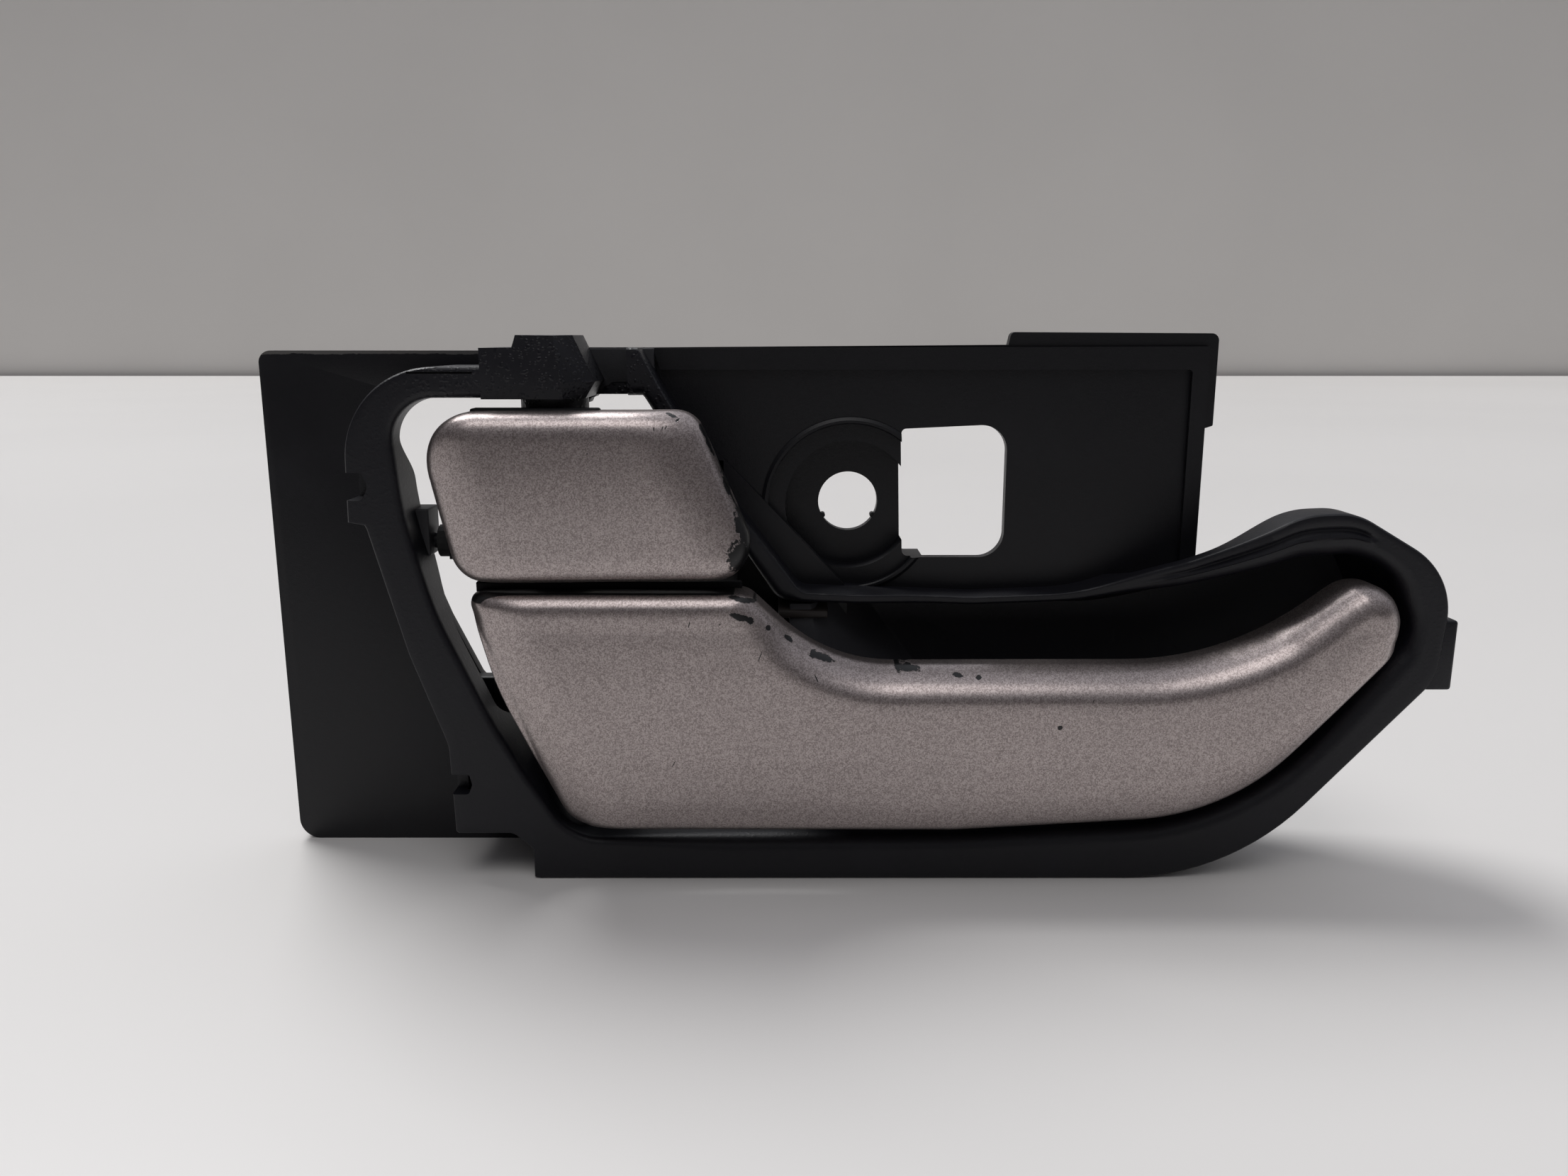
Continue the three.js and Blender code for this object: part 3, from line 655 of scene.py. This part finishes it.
SHELL_EDGE, SHELL_ROOM = 2.0, 2.2
DEEPEST_SLOPE = 6.0


class Facet:
    """A soft slope along part of an outline: full drop at the edge, none past its width."""

    def __init__(self, line, width, drop):
        self.width, self.drop = width, drop
        self.tree = kdtree.KDTree(len(line))
        for i, point in enumerate(line):
            self.tree.insert((point.x, point.y, 0), i)
        self.tree.balance()

    def depth(self, x, z):
        distance = self.tree.find((x, z, 0))[2]
        return self.drop * max(0.0, 1 - distance / self.width) ** 2


def dense(a, b):
    """Points a quarter of a millimetre apart along a straight line."""
    a, b = Vector(a), Vector(b)
    steps = max(1, round((b - a).length / 0.25))
    return [a.lerp(b, k / steps) for k in range(steps + 1)]


def between(points, x_low, x_high, z_low, z_high=math.inf):
    """The part of an outline that lies in a window."""
    return [p for p in points if x_low <= p.x <= x_high and z_low <= p.y <= z_high]


def make_shell(name, corners, front, back, voxel, shape):
    """A hollow painted shell: rounded plate, even mesh, crowned front and open back."""
    outline = rounded(corners, 4)
    shell = plate(name, outline, front, back + 4)
    modify(shell, "BEVEL", width=SHELL_EDGE * MM, segments=8, limit_method="ANGLE",
           angle_limit=math.radians(50), use_clamp_overlap=False)
    modify(shell, "REMESH", mode="VOXEL", voxel_size=voxel * MM)
    modify(shell, "SMOOTH", factor=0.5, iterations=6)
    for vertex in shell.data.vertices:
        x, z = (vertex.co.x - ORIGIN.x) / MM, vertex.co.z / MM
        y = (vertex.co.y - ORIGIN.y) / MM
        share = smoothstep(back + 2, front, y)
        vertex.co.y = ORIGIN.y + (y + share * shape(x, z)) * MM
    carve(shell, block("trim", (-60, 180), (back, back + 20), (-10, 110)))
    hollow = plate("hollow", offset(rounded(corners, 8), -WALL), front + WALL + SHELL_ROOM, back + 1)
    carve(shell, hollow)
    return smooth(shell, 50)


def crown(top, bottom, apex, up, down):
    """Depth below the crest of a surface that is crowned between two heights."""
    def depth(z):
        crest = bottom + (top - bottom) * apex
        if z > crest:
            return up * min(1.2, (z - crest) / (top - crest)) ** 2
        return down * min(1.2, (crest - z) / (crest - bottom)) ** 2
    return depth


def make_knob_cap():
    left = Facet(dense((-14.2, 48.5), (-19.9, 76)), 9.0, 3.2)
    right = Facet(dense((33.2, 49), (22.3, 76)), 9.5, 2.4)
    top = Facet(dense((-20, 75.2), (24, 75.2)), 4.2, 1.2)
    bottom = Facet(dense((-16, 49.4), (34, 49.8)), 4.0, 0.7)
    body = crown(75.1, 49.9, 0.55, 0.5, 0.5)

    def shape(x, z):
        return left.depth(x, z) + right.depth(x, z) + top.depth(x, z) + bottom.depth(x, z) + body(z)

    shell = make_shell("knob_cap_shell", KNOB_OUTLINE, KNOB_FRONT, KNOB_BACK, 0.42, shape)
    return ride(shell, "knob", KNOB_PAINT, ["knob_cap"])


def make_lever_shell():
    outline = evenly(rounded(LEVER_OUTLINE, 4), 0.3)
    left = Facet(dense((-14.2, 50), (1.9, 9)), 8.5, 3.1)
    top_edge = Facet(between(outline, -13, 29, 44), 3.6, 0.9)
    grip_top = Facet(between(outline, 31, 121, 35), 4.8, 3.0)
    tip = Facet(between(outline, 119, 140, 40), 4.6, 2.4)
    bottom_edge = Facet(between(outline, 4, 132, 0, 41.5), 6.5, 1.3)
    belly = crown(40, 10, 0.6, 0.3, 0.9)

    def shape(x, z):
        depth = left.depth(x, z) + bottom_edge.depth(x, z)
        top = top_edge.depth(x, z) * (1 - smoothstep(24, 36, x))
        top += grip_top.depth(x, z) * smoothstep(22, 42, x)
        return min(depth + max(top, tip.depth(x, z)) + belly(z), DEEPEST_SLOPE)

    shell = make_shell("lever_painted_shell", LEVER_OUTLINE, LEVER_FRONT, LEVER_BACK, 0.5, shape)
    return ride(shell, "lever", LEVER_PAINT, ["lever_shell"])


def make_lever_top_shade_rib():
    """A dark rib along the lever's top that closes the slit under the knob; it is painted shade for the black
    band between knob and lever.
    """
    rib = soften(block("lever_top_shade_rib", (-12, 29), (0.8, 2.4), (47.2, 48.95)), 0.3)
    return ride(smooth(rib), "lever", CARRIER_PLASTIC)


# ---- Housing -------------------------------------------------------------------------------------

NEAREST_CROSSING = 0.2
# The fine step along the crest of the raised end, as [share of the rim's width, drop]
CREST_STEP = ((0.46, -0.3), (0.54, -0.12), (0.6, 0.42), (0.65, 0.5), (0.7, 0.12), (0.76, -0.05))
SOFT_EDGE_STEPS, CRISP_EDGE_STEPS = 6, 3


def crossing(start, way, loop):
    """The nearest point where a ray from start meets a closed loop."""
    best = None
    for i, a in enumerate(loop):
        b = loop[(i + 1) % len(loop)]
        edge = b - a
        area = way.x * edge.y - way.y * edge.x
        if abs(area) < 1e-9:
            continue
        reach = ((a.x - start.x) * edge.y - (a.y - start.y) * edge.x) / area
        along = ((a.x - start.x) * way.y - (a.y - start.y) * way.x) / area
        if reach > NEAREST_CROSSING and -1e-6 <= along <= 1 + 1e-6 and (best is None or reach < best):
            best = reach
    return start + way * best


def rim_front(x, z):
    """How far the rim's face stands back: none round the handle, more along the wall and the lip."""
    if x < FACE_RIGHT or z < FACE_TOP:
        return 0.0
    lip = LIP_FRONT + LIP_STEP * smoothstep(46, 60, x)
    return lip * (1 - smoothstep(RAMP_START, RAMP_END, x))


def inner_wall_back(x, z):
    """The opening's wall is shallow on the left and runs down to the pocket's floor on the right."""
    if x > CHEEK_X:
        return POCKET_BACK
    shallow = smoothstep(20, 28, z) * (1 - smoothstep(-9, -6, x))
    left_back = LEFT_WALL_TOP_BACK + (LEFT_WALL_BACK - LEFT_WALL_TOP_BACK) * (1 - smoothstep(64, 71, z))
    left_back -= LEFT_WALL_FOOT_RISE * (1 - smoothstep(38, 54, z))
    return PLATE_BACK + (left_back - PLATE_BACK) * shallow


def outer_wall_back(x, z):
    """The outer wall meets the flanges, and is shallow past the right flange."""
    shallow = smoothstep(86, 93, x) * smoothstep(43, 46, z)
    deeper = smoothstep(103, RAMP_END, x)
    end_back = rim_front(x, z) + RAMP_WALL_DEPTH + (END_WALL_BACK - RAMP_WALL_DEPTH) * deeper
    return PLATE_BACK + (end_back - PLATE_BACK) * shallow


def lean(x, z):
    """How far the pocket's roof drops towards its back under the raised end."""
    return ROOF_DROP * smoothstep(66, 92, x) * (1 - smoothstep(120, 130, x)) * smoothstep(40, 43, z)


def rim_section(x, z, width):
    """The rim's section as [distance from the opening, depth], with as many points everywhere."""
    start = rim_front(x, z)
    soft = min(1.1 + 1.6 * smoothstep(0, 30, x), width * 0.42)
    crisp = min(0.55, width * 0.22)
    crest = smoothstep(92, 106, x) * (1 - smoothstep(123.6, 125.0, x)) * (z > 45)
    inner_back, outer_back = inner_wall_back(x, z), outer_wall_back(x, z)
    deep = min(start + WALL + 0.2, outer_back - 0.5, inner_back - 0.5)
    drop_back = lean(x, z)
    section = [(-drop_back, inner_back), (0, start + soft + 0.3)]
    for k in range(1, SOFT_EDGE_STEPS + 1):
        angle = math.radians(90 * k / SOFT_EDGE_STEPS)
        section.append((soft * (1 - math.cos(angle)), start + soft * (1 - math.sin(angle))))
    for share, drop in CREST_STEP:
        out = width * share if width * share > soft else soft + (share - 0.4) * 0.1
        section.append((out, start + drop * crest))
    for k in range(CRISP_EDGE_STEPS + 1):
        angle = math.radians(90 * k / CRISP_EDGE_STEPS)
        section.append((width - crisp * (1 - math.sin(angle)), start + crisp * (1 - math.cos(angle))))
    wall = min(WALL, width * 0.45)
    section += [(width, outer_back), (width - wall, outer_back), (width - wall, deep), (wall, deep)]
    return section + [(wall - drop_back, inner_back)]


def make_rim():
    """The raised rim: a channel that runs round the opening, rounded at both front edges."""
    inner, outer = evenly(rounded(RIM_INNER), 0.5), rounded(RIM_OUTER, 4)
    rows = []
    for i, point in enumerate(inner):
        along = inner[(i + 1) % len(inner)] - inner[i - 1]
        way = Vector((along.y, -along.x)).normalized()
        width = (crossing(point, way, outer) - point).length
        section = rim_section(point.x, point.y, width)
        rows.append([(point.x + way.x * t, y, point.y + way.y * t) for t, y in section])
    rim = sheet_of("rim", rows)
    carve(
        rim,
        block("tower_gap", (-2, 11.2), (-1, 13.9), (76, 90)),
        plate("top_slot", rounded([(-20.4, 80.5, 0.1), (-10.6, 80.5, 0.1), (-10.6, 80.8, 0.1),
                                   (-20.4, 80.8, 0.1)]), -1, 0.8),
        plate("upper_notch", rounded([(-33, 61.6, 0), (-28.3, 61.6, 1.1), (-27.3, 63.7, 1.6),
                                      (-28.1, 65.8, 0.6), (-33, 65.8, 0)], 15), -1, 6),
        plate("lower_notch", rounded([(-20, 14.5, 0), (-14.7, 14.5, 0.6), (-14.1, 16.1, 0.6),
                                      (-14.5, 17.8, 0.4), (-20, 17.8, 0)], 15), -1, 3.5),
    )
    return house(smooth(rim, 30), RIM_PLASTIC)


def make_end_tab():
    """The locating tab that stands out from the raised end."""
    tab = soften(block("rim_end_tab", (134.5, 139.9), (0.2, 14), (31.7, 42.9)), 0.5)
    return house(smooth(tab), RIM_PLASTIC)


def loft(name, front_points, back_points, front, back):
    """A solid between two outlines of the same count at two depths."""
    piece = plate(name, front_points, front, back)
    count = len(front_points)
    for vertex, point in zip(piece.data.vertices[count:], back_points):
        vertex.co = at(point[0], back, point[1])
    return in_edit(piece, lambda: bpy.ops.mesh.normals_make_consistent(inside=False))


def make_tower():
    """The grained tower over the pin, flush with the rim, with a slanting right cheek."""
    left = [(-4, 86.1), (-4.6, 84.3), (-9.5, 84.25), (-9.5, 76.75)]
    front = [Vector(p) for p in [(2.7, 76.75), (2.5, 79.2), (1.5, 86.0)] + left]
    back = [Vector(p) for p in [(5.4, 76.75), (6.9, 79.2), (3.7, 86.1)] + left]
    body = loft("tower", front, back, -0.05, 4.2)
    unite(body, plate("tower_back", back, 4.1, 14))
    soften(body, 0.35, 3, 24)
    unite(body, soften(drum("neck", (0, PIN_Y, 73.3), (0, PIN_Y, 77.5), 5.2), 0.3))
    carve(body, drum("pin_hole", (0, PIN_Y, 60), (0, PIN_Y, 83.5), PIN_RADIUS + PIN_CLEARANCE))
    return house(smooth(body), RIM_PLASTIC)


def make_web():
    """The web right of the tower, with a ragged moulding flash along its lower edge."""
    edge = [(3, 76.2), (3.6, 75.4), (4.3, 75.6), (4.6, 76.3), (5.3, 76.5), (5.7, 77.1), (6.4, 77.2),
            (6.8, 78.0), (7.5, 78.1), (8.0, 78.6), (9.2, 78.7), (14.8, 78.4), (14.8, 84.1), (3, 84.1)]
    web = plate("tower_web", [Vector(point) for point in edge], 13.8, PLATE_BACK)
    return house(smooth(soften(web, 0.2)), WEB_PLASTIC)


def opening_cutter():
    """What the flange loses where the rim's opening runs through it."""
    return plate("opening", rounded(RIM_INNER, 8), PLATE_FRONT - 3, POCKET_BACK + 1)


def make_left_flange():
    """The plain flange behind the rim, with its ribs and the sill that closes the opening's foot."""
    flange = plate("left_flange", rounded(LEFT_FLANGE), PLATE_FRONT, PLATE_BACK)
    for z in (20, 62):
        unite(flange, block("rib", (-47, -32), (PLATE_BACK - 0.5, POCKET_FLOOR), (z, z + WALL)))
    unite(flange, block("sill", (3.5, 42), (PLATE_FRONT + 0.01, PLATE_BACK - 0.01), (5, 19)))
    soften(flange, 0.4)
    return house(smooth(flange), LEFT_PLASTIC)


def make_right_flange():
    """The flange right of the diagonal wall, with its border, stepped screw recess and window."""
    outline = [(44, 40, 0), (103.6, 44, 0), (103.6, 71.2, 0), (105.2, 71.7, 0.3), (105.2, 86.4, 1.2),
               (71.9, 86.6, 0.8), (71.5, 84.6, 0), (3, 84.1, 0), (3, 79.5, 0), (14, 79.5, 0)]
    flange = plate("right_flange", rounded(outline), PLATE_FRONT, PLATE_BACK)
    x, z = SCREW_HOLE
    nib_circle = 4.9
    unite(
        flange,
        plate("border", rounded([(15.6, 80.7, 0.2), (101, 80.7, 0.6), (101, 46, 0), (103.59, 46, 0),
                                 (103.59, 84.35, 0), (14.6, 84.05, 0)]), PLATE_FRONT - 1, PLATE_FRONT + 0.5),
        drum("cup", (x, PLATE_FRONT + 0.2, z), (x, POCKET_BACK, z), 15, 96),
        turned("cup_rim", [(13.2, -0.4), (14.6, -0.4), (14.5, 0.25), (14.0, 0.6), (13.6, 0.6), (13.3, 0.3)],
               (x, PLATE_FRONT, z), (0, -1, 0), 96),
    )
    carve(
        flange,
        drum("mouth", (x, 10, z), (x, 17.2, z), 13.4, 96),
        drum("step", (x, 10, z), (x, POCKET_FLOOR, z), 10.6, 96),
        drum("hole", (x, 10, z), (x, 30, z), 5, 64),
        plate("window", rounded([(55.2, 50, 1), (71.9, 50, 4.2), (71.9, 72, 4.2), (54.6, 71.2, 0.8)]),
              10, 30),
        opening_cutter(),
    )
    for angle in (210, 330):
        way = math.radians(angle)
        nib_x, nib_z = x + nib_circle * math.cos(way), z + nib_circle * math.sin(way)
        nib = drum("nib", (nib_x, POCKET_FLOOR + 0.3, nib_z), (nib_x, POCKET_BACK - 0.2, nib_z), 0.45, 12)
        unite(flange, nib)
    soften(flange, 0.3, 2)
    return house(smooth(flange), FLANGE_PLASTIC)


def make_pocket():
    """The finger pocket's floor and its sloping cheek towards the mechanism."""
    edge = offset(evenly(rounded(RIM_INNER, 8), 1.5), WALL * 0.9)
    outline = [point - Vector((0, lean(*point))) for point in edge]
    floor = plate("pocket_floor", outline, POCKET_FLOOR, POCKET_BACK)
    carve(floor, block("left", (-60, CHEEK_X), (10, 40), (-10, 100)))
    cheek = block("cheek", (36.4, 40), (9.4, POCKET_FLOOR + 1), (7, 43.6))
    upper_front, lower_front, upper_rear, lower_rear = 39.8, 45, 49, 76
    for vertex in cheek.data.vertices:
        if vertex.co.x > at(39, 0, 0).x:
            rear = vertex.co.y > at(0, 15, 0).y
            low = vertex.co.z < at(0, 0, 20).z
            reach = (lower_rear if low else upper_rear) if rear else (lower_front if low else upper_front)
            vertex.co.x = at(reach, 0, 0).x
    unite(floor, cheek, block("bumper_post", (38.5, 44.5), (8, POCKET_FLOOR + 0.5), (17, 23)))
    soften(floor, 0.3, 2)
    return house(smooth(floor), POCKET_PLASTIC)


def make_corner():
    """The web behind the opening's right-hand corner and the sloping ledge in front of it."""
    web = plate("corner_web", [Vector(corner) for corner in CORNER_WEB], PLATE_FRONT - 0.8, PLATE_BACK)
    house(smooth(web), FLANGE_PLASTIC)
    ledge = block("corner_ledge", (34.6, 42.6), (9.0, PLATE_FRONT), (41.2, 42.4))
    for vertex in ledge.data.vertices:
        if vertex.co.z > at(0, 0, 42).z and vertex.co.y > at(0, 12, 0).y:
            vertex.co.z += 3.0 * MM
    return house(smooth(soften(ledge, 0.3, 2)), LEDGE_PLASTIC)


def make_inner_lugs():
    """The lower pin boss and its rib, the detent's shelf, the spring's hook and the bumper's pad."""
    boss = soften(drum("lower_boss", (0, PIN_Y, 0.4), (0, PIN_Y, 18.6), 5), 0.4)
    unite(boss, block("boss_rib", (-1.5, 1.5), (12, PLATE_FRONT + 1), (2, 18)))
    carve(boss, drum("hole", (0, PIN_Y, -1), (0, PIN_Y, 20), PIN_RADIUS + PIN_CLEARANCE))
    lugs = [
        boss,
        soften(block("detent_shelf", (11, 26), (15.2, PLATE_BACK), (58.5, 66.5))),
        soften(block("spring_hook", (-18.5, -7.5), (13.4, 16.5), (27, 30))),
        soften(block("bumper_pad", (-24.2, -20.2), (6, 11.6), (52, 59.5)), 0.3),
        drum("bumper_spigot", (-22, 9.1, 54), (-16, 9.1, 54), 1.2, 24),
    ]
    for lug in lugs:
        house(smooth(lug), WEB_PLASTIC if lug.name == "bumper_pad" else FLANGE_PLASTIC)


def make_knob_collar():
    """The carrier's edge that shows above the painted cap."""
    collar = soften(block("knob_collar", (-11.2, 8), (-0.6, 2.3), (74.2, 75.45)), 0.4)
    return ride(smooth(collar), "knob", CARRIER_PLASTIC)


def make_return_spring():
    """The coil round the pin, from its foot at the housing's hook up to its head at the lever."""
    radius, wire, turns, leg, foot, head, held = 4.2, 0.6, 5.5, 9.5, 28.6, 38.4, 0.3
    steps, sides = round(turns * 24), 10
    path = [(-leg * share, PIN_Y + radius, foot) for share in (1.0, 0.75, 0.5, 0.25)]
    for k in range(steps + 1):
        angle = math.pi / 2 - k / steps * turns * math.tau
        rise = foot + (head - foot) * k / steps
        path.append((radius * math.cos(angle), PIN_Y + radius * math.sin(angle), rise))
    path += [(-leg * share, PIN_Y - radius, head) for share in (0.25, 0.5, 0.75, 1.0)]
    rows, last = [], len(path) - 1
    for k, point in enumerate(path):
        way = (Vector(path[min(k + 1, last)]) - Vector(path[max(k - 1, 0)])).normalized()
        across = way.cross(Vector((0, 0, 1))).normalized()
        up = across.cross(way)
        angles = [math.tau * i / sides for i in range(sides)]
        ring = [Vector(point) + (across * math.cos(turn) + up * math.sin(turn)) * wire for turn in angles]
        if k == 0:
            rows.append([point] * sides)
        rows.append(ring)
        if k == last:
            rows.append([point] * sides)
    spring = smooth(sheet_of("return_spring_wire", rows, close_along=False), 60)
    spring.data.materials.clear()
    spring.data.materials.append(SPRING_STEEL)
    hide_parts("return_spring")
    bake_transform(spring)


# ---- Assembly ------------------------------------------------------------------------------------

make_rim()
make_end_tab()
make_tower()
make_web()
make_left_flange()
make_right_flange()
make_pocket()
make_corner()
make_inner_lugs()
make_knob_collar()
make_knob_cap()
make_lever_shell()
make_lever_top_shade_rib()
make_return_spring()

CAD_FINISHES = {
    CARRIER_PLASTIC: ["lever_carrier", "knob_carrier"],
    GROUND_STEEL: ["hinge_pin"],
    SPRING_STEEL: ["pin_clip", "detent_spring"],
    ZINC_STEEL: ["detent_screw", "lever_screw_left", "lever_screw_right", "knob_screw"],
    NYLON: ["spacer_washer", "lever_bush_lower", "lever_bush_upper", "knob_bush_lower", "knob_bush_upper",
            "lever_rod_clip", "knob_rod_clip"],
    RUBBER: ["lever_bumper", "knob_bumper"],
}
for material, nodes in CAD_FINISHES.items():
    for node in nodes:
        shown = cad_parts[node]
        shown.data.materials.clear()
        shown.data.materials.append(material)

# ---- Stage, light and camera ---------------------------------------------------------------------

BENCH_FRONT, BENCH_BACK = -0.55, 2.55
BENCH_HALF_WIDTH, WALL_HALF_WIDTH, WALL_TOP, WALL_FOOT = 3.5, 4.0, 2.0, -0.5
CAMERA_AT, CAMERA_TILT, CAMERA_LENS, CAMERA_SENSOR = (35.5, -176.7, 85.7), 12, 27.03, 36


def make_stage():
    """A pale bench and a pale wall behind it."""
    clear_selection()
    bpy.ops.mesh.primitive_plane_add(size=1)
    bench = fresh("bench")
    for vertex in bench.data.vertices:
        depth = BENCH_BACK if vertex.co.y > 0 else BENCH_FRONT
        vertex.co = (math.copysign(BENCH_HALF_WIDTH, vertex.co.x), depth, 0)
    clear_selection()
    bpy.ops.mesh.primitive_plane_add(size=1)
    wall = fresh("back_wall")
    for vertex in wall.data.vertices:
        height = WALL_TOP if vertex.co.y > 0 else WALL_FOOT
        vertex.co = (math.copysign(WALL_HALF_WIDTH, vertex.co.x), BENCH_BACK + 0.02, height)
    wall.visible_shadow = False
    paints = ((bench, rgba(0.68, 0.665, 0.65), 0.42), (wall, rgba(0.66, 0.645, 0.625), 0.8))
    for piece, color, roughness in paints:
        material, s, surface, place = new_material(f"{piece.name}_paint")
        cloud = s.noise(place, 2.2, 3.0)
        clouded = s.mix(s.span(cloud, 0.3, 0.7), color, scaled(color, 0.97))
        dress(s, surface, Base_Color=clouded, Roughness=roughness)
        piece.data.materials.append(material)


def add_sun(name, towards, strength, spread, color=(1, 1, 1)):
    """An even light from far away; the spread, in degrees, softens its shadows."""
    clear_selection()
    bpy.ops.object.light_add(type="SUN")
    lamp = bpy.context.object
    lamp.name = name
    lamp.rotation_euler = Vector(towards).to_track_quat("-Z", "Y").to_euler()
    lamp.data.energy = strength
    lamp.data.angle = math.radians(spread)
    lamp.data.color = color


def light_scene():
    """A soft room, bright above and behind, with one strong and one weak lamp."""
    world = bpy.data.worlds.new("soft_room")
    bpy.context.scene.world = world
    world.use_nodes = True
    s = Shader(world.node_tree)
    way = s.node("ShaderNodeTexCoord").outputs["Generated"]
    parts = s.node("ShaderNodeSeparateXYZ", {"Vector": way}).outputs
    above = s.span(parts["Z"], 0.05, 0.95)
    behind = s.span(parts["Y"], -0.35, 0.6)
    level = s.math("ADD", s.math("MULTIPLY", above, 0.5), s.math("MULTIPLY", behind, 0.4))
    level = s.math("MULTIPLY", level, s.span(parts["X"], -0.1, -0.8, 1.0, 0.35))
    room = s.mix(level, rgba(0.07, 0.064, 0.066), rgba(0.72, 0.74, 0.8))
    seen = s.node("ShaderNodeLightPath").outputs["Is Camera Ray"]
    background = world.node_tree.nodes["Background"]
    world.node_tree.links.new(s.mix(seen, room, rgba(0.41, 0.4, 0.39)), background.inputs["Color"])
    add_sun("light_from_behind", (0.5, -0.55, -1.1), 2.2, 30)
    add_sun("light_in_front", (0.1, 0.55, -1.05), 0.6, 36, (1.0, 0.98, 0.97))


def add_camera():
    """Eye level with the part's top, tilted a little down."""
    clear_selection()
    bpy.ops.object.camera_add(location=at(*CAMERA_AT), rotation=(math.radians(90 - CAMERA_TILT), 0, 0))
    camera = bpy.context.object
    camera.name = "camera"
    camera.data.sensor_width = CAMERA_SENSOR
    camera.data.lens = CAMERA_LENS
    camera.data.clip_start = 0.01
    bpy.context.scene.camera = camera


make_stage()
light_scene()
add_camera()
bpy.context.scene.view_settings.view_transform = "Standard"
